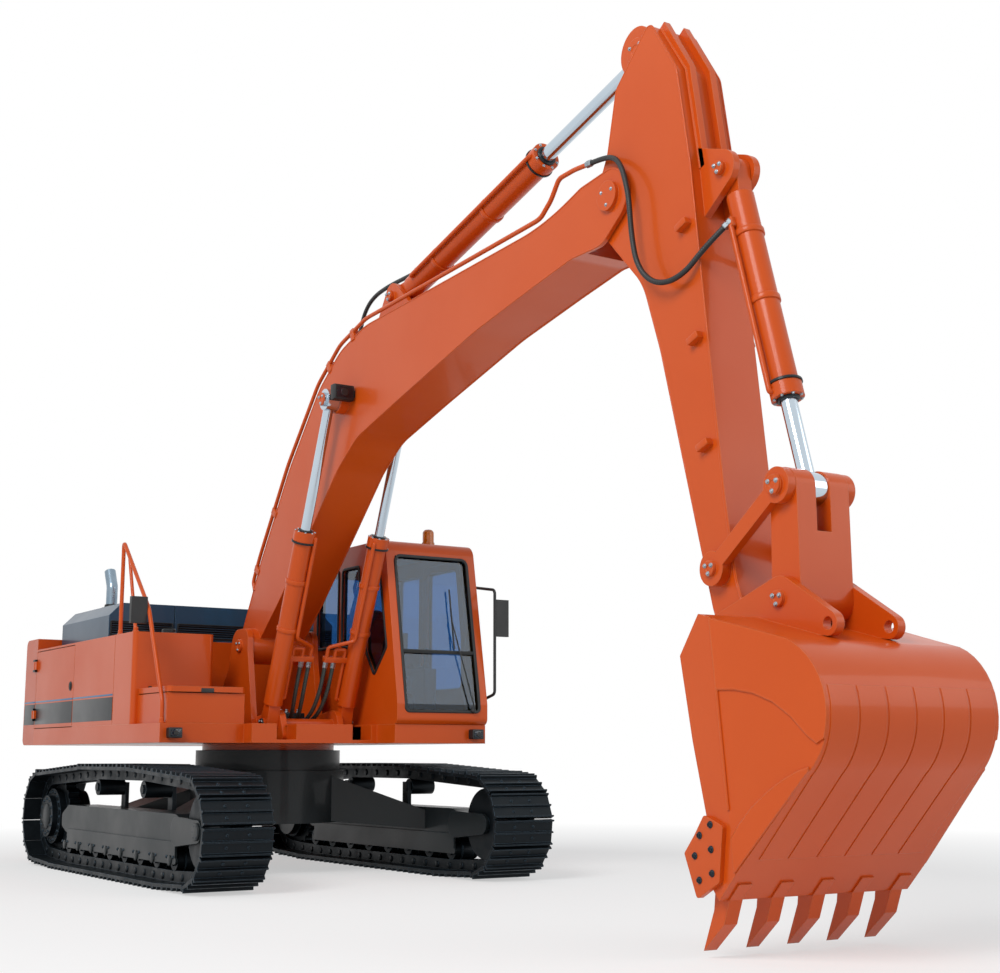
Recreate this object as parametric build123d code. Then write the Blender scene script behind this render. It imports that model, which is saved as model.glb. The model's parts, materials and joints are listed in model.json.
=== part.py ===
from build123d import *
import os
from math import atan2, cos, degrees, hypot, radians, sin, tan

# Crawler excavator of the 34 tonne class, in millimetres, X forward, Y left, Z up

# Undercarriage
TUMBLER_DISTANCE = 4060
TRACK_GAUGE = 2680
SHOE_WIDTH = 600
SHOE_COUNT = 48
SHOE_GAP = 6
SHOE_THICKNESS = 14
GROUSER_HEIGHT = 26
GROUSER_WIDTH = 12
LINK_HEIGHT = 105
LINK_WIDTH = 58
LINK_SPACING = 190
TRACK_END_RADIUS = 460
END_LIFT = 25
TRACK_TOP = 1015
CARRIER_SPACING = 1240
CARRIER_RADIUS = 75
ROLLER_COUNT = 8
ROLLER_RADIUS = 84
ROLLER_SPAN = 2860
TRACK_FRAME_WIDTH = 290
TRACK_FRAME_BOTTOM = 345
TRACK_FRAME_TOP = 610
CAR_BODY_BOTTOM = 470
CAR_BODY_TOP = 950
CAR_BODY_LENGTH = 1500
LEG_WIDTH = 460
SLEW_RADIUS = 690
SLEW_BORE = 540
RUNNING_GAP = 0.4
PIVOT_GAP = 0.4

# Upper structure
SWING_AXIS_X = -2390
UPPER_WIDTH = 2984
DECK_BOTTOM = 1200
DECK_TOP = 1370
TAIL_RADIUS = 3490
COUNTERWEIGHT_FRONT = -2740
COUNTERWEIGHT_TOP = 2330
PANEL_TOP = 2210
PANEL_THICKNESS = 45
PANEL_GAP = 8
HOOD_FRONT = -1150
HOOD_TOP = 2610
HOOD_CHAMFER = 130
HOOD_PLATE = 6
DOOR_FRONT = -1440
TANK_FRONT = 300
TANK_REAR = -210
TOOL_BOX_FRONT = 1050
TOOL_BOX_TOP = 1690
SIDE_BOX_WIDTH = 780
TOOL_BOX_INSET = 60
HOOD_SEAT = 0.4
WALKWAY = 20
HINGE_RADIUS = 15
HINGE_PIN = 8
HINGE_LENGTH = 84
HINGE_LUG = 24
HINGE_LEAF = 60
RAIL_RADIUS = 19
LID_THICKNESS = 50

# Cab
CAB_WIDTH = 960
CAB_REAR = -160
CAB_FRONT = 1617
CAB_ROOF_FRONT = 1318
CAB_TOP = 3090
CAB_WALL = 55
CAB_DOOR_REAR = 470
CAB_DOOR_FRONT = 1300
GLASS_THICKNESS = 8
DOOR_GAP = 6

# Boom, arm and bucket: pins in the machine's middle plane, angles at rest
BOOM_FOOT = (107, 2130)
BOOM_LENGTH = 6435
BOOM_ANGLE = 25.08
BOOM_WIDTH = 460
BOOM_PLATE = 16
BOOM_FOOT_WIDTH = 620
BOOM_FOOT_RADIUS = 172
BOOM_CYLINDER_FOOT = (837, 1382)
BOOM_CYLINDER_Y = 372
BOOM_ROD_U = 2556
BOOM_ROD_V = 1075
ARM_CYLINDER_U = 3483
ARM_CYLINDER_V = 1561
FORK_CLEARANCE = 6
FORK_DEPTH = 440
FORK_BOSS = 30
FORK_RADIUS = 188
ARM_LENGTH = 3264
ARM_ANGLE = -69.55
ARM_WIDTH = 380
ARM_PLATE = 14
ARM_ROD_U = -901
ARM_ROD_V = 516
BUCKET_CYLINDER_U = 460
BUCKET_CYLINDER_V = 917
LINK_PIN_U = 2851
LINK_PIN_V = 17
BUCKET_ANGLE = -83.58
BUCKET_WIDTH = 1430
BUCKET_BACK_WIDTH = 1270
BUCKET_PLATE = 25
EAR_THICKNESS = 58
EAR_GAP = 410
LIFTING_EYE = (95, 828)
H_LINK_U = -111
H_LINK_V = 470
H_LINK_LENGTH = 654
SIDE_LINK_LENGTH = 722.5
SIDE_LINK_EYE = 106
SIDE_LINK_WAIST = 100
TOOTH_COUNT = 5
TOOTH_REACH = 1772

# Cylinders
BOOM_TUBE_DIAMETER = 172
BOOM_ROD_DIAMETER = 90
BOOM_TUBE_LENGTH = 1820
ARM_TUBE_DIAMETER = 200
ARM_ROD_DIAMETER = 116
ARM_TUBE_LENGTH = 2300
BUCKET_TUBE_DIAMETER = 176
BUCKET_ROD_DIAMETER = 102
BUCKET_TUBE_LENGTH = 1620
TUBE_WALL = 16
TUBE_BOTTOM = 60
GLAND_LENGTH = 90
GLAND_STEP = 14
EYE_WIDTH = 112
EYE_SIDE_GAP = 4
EYE_SWEEP = 170
EYE_SLIDE = 260

# Inner end of each rod at rest, from the foot pin, so that it stays in its tube over its whole travel
BOOM_ROD_TAIL = 1147
ARM_ROD_TAIL = 1345
BUCKET_ROD_TAIL = 600


def polar(origin, length, angle):
    """Point at a length and angle from an origin in the middle plane."""
    return (origin[0] + length * cos(radians(angle)), origin[1] + length * sin(radians(angle)))


def on_link(origin, angle, u, v):
    """Point of the middle plane from a link's own coordinates."""
    along = polar(origin, u, angle)
    return polar(along, v, angle + 90)


def between(start, end):
    """Length and angle from one pin to another."""
    return hypot(end[0] - start[0], end[1] - start[1]), degrees(atan2(end[1] - start[1], end[0] - start[0]))


def meeting(first, first_radius, second, second_radius):
    """Upper meeting point of two circles, for the top pin of the bucket linkage."""
    reach, angle = between(first, second)
    along = (first_radius**2 - second_radius**2 + reach**2) / (2 * reach)
    aside = (first_radius**2 - along**2) ** 0.5
    return on_link(first, angle, along, aside)


BOOM_TIP = polar(BOOM_FOOT, BOOM_LENGTH, BOOM_ANGLE)
BOOM_ROD_PIN = on_link(BOOM_FOOT, BOOM_ANGLE, BOOM_ROD_U, BOOM_ROD_V)
ARM_CYLINDER_PIN = on_link(BOOM_FOOT, BOOM_ANGLE, ARM_CYLINDER_U, ARM_CYLINDER_V)
ARM_ROD_PIN = on_link(BOOM_TIP, ARM_ANGLE, ARM_ROD_U, ARM_ROD_V)
BUCKET_CYLINDER_PIN = on_link(BOOM_TIP, ARM_ANGLE, BUCKET_CYLINDER_U, BUCKET_CYLINDER_V)
SIDE_LINK_PIN = on_link(BOOM_TIP, ARM_ANGLE, LINK_PIN_U, LINK_PIN_V)
BUCKET_PIN = polar(BOOM_TIP, ARM_LENGTH, ARM_ANGLE)
H_LINK_PIN = on_link(BUCKET_PIN, BUCKET_ANGLE, H_LINK_U, H_LINK_V)
ROD_LINK_PIN = meeting(SIDE_LINK_PIN, SIDE_LINK_LENGTH, H_LINK_PIN, H_LINK_LENGTH)


def rounded(corners):
    """Face of a closed outline, each corner (x, y, radius), radii limited by the runs beside them."""
    count = len(corners)
    arcs = []
    for i in range(count):
        x, y, radius = corners[i]
        before = Vector(*corners[i - 1][:2]) - Vector(x, y)
        after = Vector(*corners[(i + 1) % count][:2]) - Vector(x, y)
        half = radians(before.get_angle(after)) / 2
        limit = 0.48 * min(before.length, after.length)
        reach = min(radius / tan(half), limit) if radius else 0
        start = Vector(x, y) + before.normalized() * reach
        end = Vector(x, y) + after.normalized() * reach
        middle = Vector(x, y)
        if reach:
            inward = (before.normalized() + after.normalized()).normalized()
            middle = middle + inward * (reach / cos(half) - reach * tan(half))
        arcs.append((start, middle, end, reach))
    edges = []
    for i in range(count):
        start, middle, end, reach = arcs[i]
        if reach:
            edges.append(ThreePointArc(start, middle, end))
        edges.append(Line(end, arcs[(i + 1) % count][0]))
    return make_face(edges)


def plate(face, thickness, y=0):
    """Plate with its outline in the X-Z plane, centred on a Y."""
    return Pos(0, y, 0) * extrude(Plane.XZ * face, thickness / 2, both=True)


def pair(face, thickness, inner):
    """Two like plates, mirrored, with their inner faces at a Y."""
    y = inner + thickness / 2
    return plate(face, thickness, y) + plate(face, thickness, -y)


def cross_tube(radius, length, x, z, y=0):
    """Round bar or boss across the machine."""
    return Pos(x, y, z) * Rot(90, 0, 0) * Cylinder(radius, length)


def disc(radius, x, z):
    """Round face in a link's outline."""
    return Pos(x, z) * Circle(radius)


def hull(*faces):
    """Face stretched round several round faces."""
    return make_hull([edge for face in faces for edge in face.edges()])


def placed(shape, pin, angle):
    """Link shape set at its pin and turned to its rest angle."""
    return Pos(pin[0], 0, pin[1]) * Rot(0, -angle, 0) * shape


def block(x0, x1, y0, y1, z0, z1):
    """Block between two corners."""
    box = Box(x1 - x0, y1 - y0, z1 - z0)
    return Pos((x0 + x1) / 2, (y0 + y1) / 2, (z0 + z1) / 2) * box


def both_sides(shape):
    """A shape and its mirror image across the middle plane."""
    return shape + mirror(shape, Plane.XZ)


def save(name, shape):
    """Write one node, moved so that the whole machine is centred on the origin."""
    export_step(Pos(SWING_AXIS_X, 0, 0) * shape, f"parts/{name}.step")


FORK_GAP = ARM_WIDTH + 2 * FORK_CLEARANCE
TRACK_Y = TRACK_GAUGE / 2
TUMBLER_X = TUMBLER_DISTANCE / 2
LINK_DEPTH = GROUSER_HEIGHT + SHOE_THICKNESS
RAIL_DEPTH = LINK_DEPTH + LINK_HEIGHT
CARRIER_Z = TRACK_TOP - RAIL_DEPTH - CARRIER_RADIUS
ROLLER_Z = RAIL_DEPTH + RUNNING_GAP + ROLLER_RADIUS
TUMBLER_Z = TRACK_END_RADIUS + END_LIFT
HUB_WIDTH = 250


def track_loop(depth):
    """Outline of the track, a depth below the tips of its grousers."""
    end = TRACK_END_RADIUS - depth
    carrier = CARRIER_RADIUS + RAIL_DEPTH - depth
    roller = ROLLER_RADIUS + RAIL_DEPTH
    circles = [disc(end, side * TUMBLER_X, TUMBLER_Z) for side in (-1, 1)]
    circles += [disc(carrier, side * CARRIER_SPACING / 2, CARRIER_Z) for side in (-1, 1)]
    circles += [disc(roller - depth, side * ROLLER_SPAN / 2, roller) for side in (-1, 1)]
    return hull(*circles)


def shoe_face(pitch):
    """Section of one triple-grouser shoe, its base sunk a little into the links."""
    half = (pitch - SHOE_GAP) / 2
    top = SHOE_THICKNESS
    tip = SHOE_THICKNESS + GROUSER_HEIGHT
    foot = 1.8 * GROUSER_WIDTH
    points = [(-half, -SHOE_THICKNESS), (-half, tip), (-half + GROUSER_WIDTH, tip), (-half + foot, top)]
    points += [(-foot / 2, top), (-GROUSER_WIDTH / 2, tip), (GROUSER_WIDTH / 2, tip), (foot / 2, top)]
    points += [(half - foot, top), (half - GROUSER_WIDTH, tip), (half, tip), (half, -SHOE_THICKNESS)]
    return make_face(Polyline(*points, close=True))


def track():
    """One track: two strands of links and the shoes on them, round Y = 0."""
    seat = track_loop(LINK_DEPTH)
    path = seat.face().outer_wire()
    pitch = path.length / SHOE_COUNT
    strand = seat - track_loop(RAIL_DEPTH)
    links = pair(strand, LINK_WIDTH, LINK_SPACING / 2 - LINK_WIDTH / 2)
    shoes = []
    for i in range(SHOE_COUNT):
        share = (i + 0.5) / SHOE_COUNT
        spot = path.position_at(share)
        along = path.tangent_at(share)
        turn = degrees(atan2(along.Y, along.X))
        if path_is_clockwise(path):
            turn += 180
        shoes.append(plate(Pos(spot.X, spot.Y) * Rot(0, 0, turn + 180) * shoe_face(pitch), SHOE_WIDTH))
    return links + shoes


def path_is_clockwise(path):
    """Whether a loop in the plane runs clockwise."""
    start = path.position_at(0)
    spots = [path.position_at(i / 12) - start for i in range(13)]
    return sum(a.X * b.Y - a.Y * b.X for a, b in zip(spots, spots[1:])) < 0


def sprockets():
    """Toothed drive wheels with their final drive hubs, at the rear."""
    pitch_radius = TRACK_END_RADIUS - LINK_DEPTH - LINK_HEIGHT / 2
    width = LINK_SPACING - LINK_WIDTH - 24
    wheel = Circle(pitch_radius)
    teeth = 21
    for i in range(teeth):
        notch = Pos(*polar((0, 0), pitch_radius + 8, 360 * i / teeth)) * Circle(38)
        wheel -= notch
    wheel = Pos(-TUMBLER_X, TUMBLER_Z) * wheel
    one = plate(wheel, width, TRACK_Y)
    rail = TRACK_END_RADIUS - RAIL_DEPTH
    one += cross_tube(rail - 40, HUB_WIDTH, -TUMBLER_X, TUMBLER_Z, TRACK_Y)
    one += cross_tube(rail - 110, 60, -TUMBLER_X, TUMBLER_Z, TRACK_Y + HUB_WIDTH / 2 + 30)
    return both_sides(one)


def idlers():
    """Front idler wheels, with a middle flange between the strands of links."""
    rail = TRACK_END_RADIUS - RAIL_DEPTH - RUNNING_GAP
    one = cross_tube(rail, LINK_SPACING + LINK_WIDTH, TUMBLER_X, TUMBLER_Z, TRACK_Y)
    flange = LINK_SPACING - LINK_WIDTH - 20
    one += cross_tube(rail + 24, flange, TUMBLER_X, TUMBLER_Z, TRACK_Y)
    one += cross_tube(70, TRACK_FRAME_WIDTH - 2 * PIVOT_GAP, TUMBLER_X, TUMBLER_Z, TRACK_Y)
    return both_sides(one)


def roller(radius, x, z):
    """Double flanged roller with its shaft ends."""
    body = cross_tube(radius, LINK_SPACING + LINK_WIDTH, x, z, TRACK_Y)
    body += cross_tube(radius + 20, LINK_SPACING - LINK_WIDTH - 20, x, z, TRACK_Y)
    return body + cross_tube(45, TRACK_FRAME_WIDTH, x, z, TRACK_Y)


def lower_rollers():
    """Rollers that the machine stands on."""
    step = ROLLER_SPAN / (ROLLER_COUNT - 1)
    shapes = [roller(ROLLER_RADIUS, -ROLLER_SPAN / 2 + i * step, ROLLER_Z) for i in range(ROLLER_COUNT)]
    return both_sides(Compound(shapes))


def carrier_rollers():
    """Rollers under the top run, on posts from the track frames."""
    shapes = []
    for side in (-1, 1):
        x = side * CARRIER_SPACING / 2
        width = LINK_SPACING + LINK_WIDTH
        post_outer = TRACK_Y - width / 2 - 4
        shape = cross_tube(CARRIER_RADIUS - RUNNING_GAP, width, x, CARRIER_Z, TRACK_Y)
        shape += cross_tube(40, width + 60, x, CARRIER_Z, TRACK_Y - 15)
        shape += block(x - 55, x + 55, post_outer - 36, post_outer, TRACK_FRAME_TOP, CARRIER_Z + 45)
        shapes.append(shape)
    return both_sides(Compound(shapes))


def track_frame():
    """Left track frame: a box beam, idler yoke arms, roller side plates and motor mount."""
    rear = -TUMBLER_X + TRACK_END_RADIUS - 60
    front = TUMBLER_X - TRACK_END_RADIUS + 60
    side = rounded(
        [
            (rear, TRACK_FRAME_BOTTOM + 60, 40),
            (rear + 160, TRACK_FRAME_BOTTOM, 60),
            (front - 60, TRACK_FRAME_BOTTOM, 40),
            (front, TRACK_FRAME_BOTTOM + 60, 40),
            (front, TRACK_FRAME_TOP - 40, 40),
            (front - 160, TRACK_FRAME_TOP, 60),
            (rear + 200, TRACK_FRAME_TOP, 60),
            (rear, TRACK_FRAME_TOP - 90, 40),
        ]
    )
    frame = plate(side, TRACK_FRAME_WIDTH, TRACK_Y)
    frame -= plate(offset(side, -18), TRACK_FRAME_WIDTH - 36, TRACK_Y)
    yoke = hull(disc(90, TUMBLER_X, TUMBLER_Z), disc(120, front - 60, TUMBLER_Z - 15))
    arm = TRACK_FRAME_WIDTH / 2
    for y in (TRACK_Y - arm - 15, TRACK_Y + arm + 15):
        frame += plate(yoke, 30, y)
    skirt = hull(disc(26, rear + 250, ROLLER_Z), disc(26, front - 90, ROLLER_Z))
    skirt += Pos((rear + front) / 2 + 80, (ROLLER_Z + TRACK_FRAME_BOTTOM) / 2 + 20) * Rectangle(
        front - rear - 340, TRACK_FRAME_BOTTOM - ROLLER_Z + 40
    )
    for y in (TRACK_Y - arm - 10, TRACK_Y + arm + 10):
        frame += plate(skirt, 20, y)
    mount_inner = TRACK_Y - HUB_WIDTH / 2 - 70
    mount_outer = TRACK_Y - HUB_WIDTH / 2 - RUNNING_GAP
    middle = (mount_inner + mount_outer) / 2
    mount = cross_tube(250, mount_outer - mount_inner, -TUMBLER_X, TUMBLER_Z, middle)
    low = TRACK_FRAME_BOTTOM + 70
    web = block(-TUMBLER_X, rear + 40, mount_inner, mount_inner + 60, low, TRACK_FRAME_TOP - 60)
    return frame + mount + web


def car_body():
    """Middle box under the slewing ring, with four legs to the track frames."""
    middle = Cylinder(SLEW_RADIUS + 40, CAR_BODY_TOP - CAR_BODY_BOTTOM)
    middle = Pos(0, 0, (CAR_BODY_TOP + CAR_BODY_BOTTOM) / 2) * middle
    inner = TRACK_Y - TRACK_FRAME_WIDTH / 2
    legs = []
    for side in (-1, 1):
        low = TRACK_FRAME_BOTTOM + 60
        high = TRACK_FRAME_TOP - 30
        leg_end = Plane((side * CAR_BODY_LENGTH / 2, inner, (low + high) / 2), (1, 0, 0), (0, 1, 0))
        leg_start = Plane((side * 300, 300, (CAR_BODY_BOTTOM + CAR_BODY_TOP) / 2), (1, 0, 0), (0, 1, 0))
        wide = Rectangle(LEG_WIDTH + 120, CAR_BODY_TOP - CAR_BODY_BOTTOM - 40)
        narrow = Rectangle(LEG_WIDTH, high - low)
        legs.append(loft([leg_start * wide, leg_end * narrow]))
    body = middle
    for leg in legs:
        body += leg
        body += mirror(leg, Plane.XZ)
    return body - Pos(0, 0, CAR_BODY_TOP) * Cylinder(SLEW_BORE - 120, 700)


def slewing_ring():
    """Outer race of the slewing ring, fixed on the car body."""
    height = DECK_BOTTOM - CAR_BODY_TOP - 60
    ring = Cylinder(SLEW_RADIUS, height) - Cylinder(SLEW_BORE, height)
    return Pos(0, 0, CAR_BODY_TOP + height / 2) * ring


HALF_WIDTH = UPPER_WIDTH / 2
DOOR_SILL = DECK_TOP + 60
DOOR_TOP = CAB_TOP - 130
CAB_RIGHT = HALF_WIDTH - CAB_WIDTH
BOX_INNER = -HALF_WIDTH + SIDE_BOX_WIDTH
BRACKET_INNER = BOOM_FOOT_WIDTH / 2 + PIVOT_GAP
BRACKET_PLATE = 58
BRACKET_REAR = BOOM_FOOT[0] - 700
CYLINDER_EYE_INNER = BOOM_CYLINDER_Y - EYE_WIDTH / 2


def cylinder_foot_plates():
    """Plates inside the boom cylinders' feet, with the pin that carries both cylinders."""
    foot = hull(
        disc(125, *BOOM_CYLINDER_FOOT),
        disc(60, BOOM_CYLINDER_FOOT[0] - 420, DECK_TOP + 20),
        disc(60, BOOM_CYLINDER_FOOT[0] + 120, DECK_BOTTOM + 70),
    )
    reach = 2 * (BOOM_CYLINDER_Y + EYE_WIDTH / 2 + 20)
    plates = pair(foot, BRACKET_PLATE, CYLINDER_EYE_INNER - PIVOT_GAP - BRACKET_PLATE)
    return plates + cross_tube(44, reach, *BOOM_CYLINDER_FOOT)


def boom_bracket():
    """Upright plates on the deck that carry the boom's foot and the boom cylinders."""
    side = rounded(
        [
            (BRACKET_REAR, DECK_TOP, 0),
            (BOOM_FOOT[0] + 330, DECK_TOP, 0),
            (BOOM_FOOT[0] + 185, BOOM_FOOT[1] - 60, 60),
            (BOOM_FOOT[0] + 175, BOOM_FOOT[1] + 160, 165),
            (BOOM_FOOT[0] - 175, BOOM_FOOT[1] + 160, 165),
            (BOOM_FOOT[0] - 260, BOOM_FOOT[1] - 200, 90),
        ]
    )
    bracket = pair(side, BRACKET_PLATE, BRACKET_INNER)
    bracket += cross_tube(60, 2 * (BRACKET_INNER + BRACKET_PLATE + 14), *BOOM_FOOT)
    return bracket + cylinder_foot_plates()


def main_frame():
    """Deck with its side boxes, cut away where the boom cylinders' feet move."""
    deck = block(COUNTERWEIGHT_FRONT, TOOL_BOX_FRONT, -HALF_WIDTH, HALF_WIDTH, DECK_BOTTOM, DECK_TOP)
    deck += block(TOOL_BOX_FRONT, CAB_FRONT - 40, CAB_RIGHT, HALF_WIDTH, DECK_BOTTOM, DECK_TOP)
    deck += block(TOOL_BOX_FRONT, TOOL_BOX_FRONT + 180, BOX_INNER, CAB_RIGHT, DECK_BOTTOM, DECK_TOP)
    wide = HALF_WIDTH - 20
    deck -= block(COUNTERWEIGHT_FRONT + 30, TOOL_BOX_FRONT - 30, -wide, wide, DECK_BOTTOM + 20, DECK_TOP - 14)
    top = DECK_TOP - 20
    deck += Pos(0, 0, (DECK_BOTTOM - 60 + RUNNING_GAP + top) / 2) * Cylinder(
        SLEW_RADIUS - 60, top - DECK_BOTTOM + 60 - RUNNING_GAP
    )
    lower = rounded(
        [
            (BOOM_CYLINDER_FOOT[0] - 260, DECK_TOP + 60, 0),
            (TOOL_BOX_FRONT + 190, DECK_TOP + 60, 0),
            (TOOL_BOX_FRONT + 190, DECK_BOTTOM + 30, 0),
            (BOOM_CYLINDER_FOOT[0] - 260, DECK_BOTTOM + 30, 0),
        ]
    )
    swept = plate(lower, BOOM_TUBE_DIAMETER + 20, BOOM_CYLINDER_Y + 5)
    swept += plate(lower, BOOM_TUBE_DIAMETER + 20, -BOOM_CYLINDER_Y - 5)
    return deck - swept - cylinder_foot_plates()


def counterweight():
    """Cast counterweight with a tail of constant radius about the swing axis."""
    height = COUNTERWEIGHT_TOP - DECK_BOTTOM
    body = Pos(0, 0, DECK_BOTTOM + height / 2) * Cylinder(TAIL_RADIUS, height)
    keep = block(
        -TAIL_RADIUS - 10, COUNTERWEIGHT_FRONT, -HALF_WIDTH, HALF_WIDTH, DECK_BOTTOM, COUNTERWEIGHT_TOP
    )
    body &= keep
    rim = body.edges().filter_by(GeomType.CIRCLE)
    return fillet(rim, 70)


HOOD_RIGHT = -HALF_WIDTH + 240
HOOD_LEFT = HALF_WIDTH - 260
HOOD_REAR = COUNTERWEIGHT_FRONT + 55
HOOD_SPLIT = -560
HOOD_HINGE_X = HOOD_FRONT + HINGE_RADIUS + 3
HOOD_HINGE_Z = PANEL_TOP + HINGE_RADIUS + 3
HOOD_HINGE_Y = (HOOD_SPLIT + 250, HOOD_LEFT - 250)


def hood_section(inset):
    """Front view of the engine hood, chamfered at its upper edges."""
    low = PANEL_TOP
    high = HOOD_TOP - inset
    right = HOOD_RIGHT + inset
    left = HOOD_LEFT - inset
    points = [(right, low), (right, high - HOOD_CHAMFER), (right + HOOD_CHAMFER, high)]
    points += [(left - HOOD_CHAMFER, high), (left, high - HOOD_CHAMFER), (left, low)]
    return make_face(Polyline(*points, close=True))


def hood_shell():
    """Whole hood before it is split into the lid that opens and the fixed side cover."""
    length = HOOD_FRONT - HOOD_REAR
    outer = extrude(Plane((HOOD_REAR, 0, 0), (0, 1, 0), (1, 0, 0)) * hood_section(0), length)
    inside = Plane((HOOD_REAR + HOOD_PLATE, 0, 0), (0, 1, 0), (1, 0, 0))
    shell = outer - extrude(inside * hood_section(HOOD_PLATE), length - 2 * HOOD_PLATE)
    seat_top = PANEL_TOP + HOOD_SEAT
    return shell - block(HOOD_REAR - 5, HOOD_FRONT + 5, -HALF_WIDTH, HALF_WIDTH, PANEL_TOP - 5, seat_top)


def engine_hood():
    """Lid over the engine, hinged at its front edge."""
    lid = hood_shell() & block(HOOD_REAR, HOOD_FRONT, HOOD_SPLIT, HALF_WIDTH, PANEL_TOP, HOOD_TOP)
    half = HINGE_LENGTH / 2
    for y in HOOD_HINGE_Y:
        lid += cross_tube(HINGE_RADIUS, HINGE_LENGTH, HOOD_HINGE_X, HOOD_HINGE_Z, y)
        lid += block(HOOD_FRONT, HOOD_HINGE_X, y - half, y + half, HOOD_HINGE_Z, HOOD_HINGE_Z + HINGE_RADIUS)
        lid -= cross_tube(HINGE_PIN + PIVOT_GAP, HINGE_LENGTH + 10, HOOD_HINGE_X, HOOD_HINGE_Z, y)
    return lid


def hood_cover():
    """Fixed right part of the hood, which the exhaust comes out of."""
    part = block(HOOD_REAR, HOOD_FRONT, -HALF_WIDTH, HOOD_SPLIT - PANEL_GAP, PANEL_TOP, HOOD_TOP)
    return hood_shell() & part


def engine_block():
    """Engine, radiator and pumps as one block at their place behind the cab."""
    return block(-2450, -1350, -900, 900, DECK_TOP, 2050)


def side_panels():
    """Fixed panels on both sides, a walkway plate round the hood and a wall in front of the engine."""
    low = PANEL_TOP - WALKWAY
    right_front = TANK_REAR - PANEL_GAP
    left_front = CAB_REAR - 60
    rear = COUNTERWEIGHT_FRONT
    top = block(rear, right_front, -HALF_WIDTH, HOOD_RIGHT + 60, low, PANEL_TOP)
    top += block(rear, left_front, HOOD_LEFT - 60, HALF_WIDTH, low, PANEL_TOP)
    top += block(HOOD_FRONT - 60, left_front, -HALF_WIDTH, HALF_WIDTH, low, PANEL_TOP)
    top += block(rear, HOOD_REAR + 40, -HALF_WIDTH, HALF_WIDTH, low, PANEL_TOP)
    top -= block(BRACKET_REAR - 20, left_front + 1, BOX_INNER - 40, CAB_RIGHT + 40, low - 1, PANEL_TOP + 1)
    wall = BRACKET_REAR - 20 - PANEL_THICKNESS
    top += block(wall, wall + PANEL_THICKNESS, BOX_INNER - 40, CAB_RIGHT + 40, DECK_TOP, low)
    inner = HALF_WIDTH - PANEL_THICKNESS
    top += block(DOOR_FRONT + PANEL_GAP, right_front, -HALF_WIDTH, -inner, DECK_TOP, low)
    top += block(DOOR_FRONT + PANEL_GAP, left_front, inner, HALF_WIDTH, DECK_TOP, low)
    return top


def hinge_pin(x, y, z, side):
    """Fixed half of a door hinge: a pin in two lugs that seat on the side wall behind it."""
    half = HINGE_LENGTH / 2
    pin = Pos(x, y, z) * Cylinder(HINGE_PIN, HINGE_LENGTH + 2 * HINGE_LUG)
    wall = y - side * (HINGE_RADIUS + 3)
    y0 = min(wall, y + side * HINGE_PIN)
    y1 = max(wall, y + side * HINGE_PIN)
    for end in (-1, 1):
        z0 = z + end * (half + HINGE_LUG / 2 + PIVOT_GAP)
        pin += block(x - HINGE_LEAF, x + HINGE_PIN, y0, y1, z0 - HINGE_LUG / 2, z0 + HINGE_LUG / 2)
    return pin


def hinge_leaf(x, y, z, side):
    """Moving half of a door hinge: a knuckle and the leaf on the door's face."""
    wall = y - side * (HINGE_RADIUS + 3)
    y0 = min(wall, y + side * HINGE_PIN)
    y1 = max(wall, y + side * HINGE_PIN)
    half = HINGE_LENGTH / 2
    leaf = Pos(x, y, z) * Cylinder(HINGE_RADIUS, HINGE_LENGTH)
    leaf += block(x, x + HINGE_LEAF, y0, y1, z - half, z + half)
    return leaf - Pos(x, y, z) * Cylinder(HINGE_PIN + PIVOT_GAP, HINGE_LENGTH + 10)


HINGE_Y = HALF_WIDTH + HINGE_RADIUS + 3
DOOR_HINGE_X = COUNTERWEIGHT_FRONT - 2
DOOR_HINGE_Z = (DECK_TOP + 150, PANEL_TOP - 170)
CAB_HINGE_X = CAB_DOOR_REAR - 2
CAB_HINGE_Z = (DOOR_SILL + 120, DOOR_SILL + 640)


def hood_pin(y):
    """Fixed half of a hinge of the engine hood: a pin in two lugs on the walkway plate."""
    pin = cross_tube(HINGE_PIN, HINGE_LENGTH + 2 * HINGE_LUG, HOOD_HINGE_X, HOOD_HINGE_Z, y)
    for end in (-1, 1):
        low = y + end * (HINGE_LENGTH / 2 + HINGE_LUG / 2 + PIVOT_GAP) - HINGE_LUG / 2
        x0 = HOOD_HINGE_X - HINGE_PIN
        high = HOOD_HINGE_Z + HINGE_PIN
        pin += block(x0, HOOD_HINGE_X + HINGE_LEAF, low, low + HINGE_LUG, PANEL_TOP, high)
    return pin


BOX_OUTER = -HALF_WIDTH + TOOL_BOX_INSET
LID_HINGE_X = TANK_FRONT + 20
LID_HINGE_Z = TOOL_BOX_TOP + HINGE_RADIUS
LID_HINGE_Y = (BOX_OUTER + 160, BOX_INNER - 160)


def lid_pin(y):
    """Fixed half of a hinge of the tool box lid: a pin in two lugs on the tank's front."""
    pin = cross_tube(HINGE_PIN, HINGE_LENGTH + 2 * HINGE_LUG, LID_HINGE_X, LID_HINGE_Z, y)
    for end in (-1, 1):
        low = y + end * (HINGE_LENGTH / 2 + HINGE_LUG / 2 + PIVOT_GAP) - HINGE_LUG / 2
        front = LID_HINGE_X + HINGE_PIN
        z0 = LID_HINGE_Z - HINGE_PIN
        pin += block(TANK_FRONT, front, low, low + HINGE_LUG, z0, LID_HINGE_Z + HINGE_PIN)
    return pin


def door_hinges():
    """Fixed halves of the hinges of the cab door, the two side doors, the engine hood and the box lid."""
    hinges = [hood_pin(y) for y in HOOD_HINGE_Y]
    hinges += [lid_pin(y) for y in LID_HINGE_Y]
    for side in (-1, 1):
        hinges += [hinge_pin(DOOR_HINGE_X, side * HINGE_Y, z, side) for z in DOOR_HINGE_Z]
    hinges += [hinge_pin(CAB_HINGE_X, HINGE_Y, z, 1) for z in CAB_HINGE_Z]
    return Compound(hinges)


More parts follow.
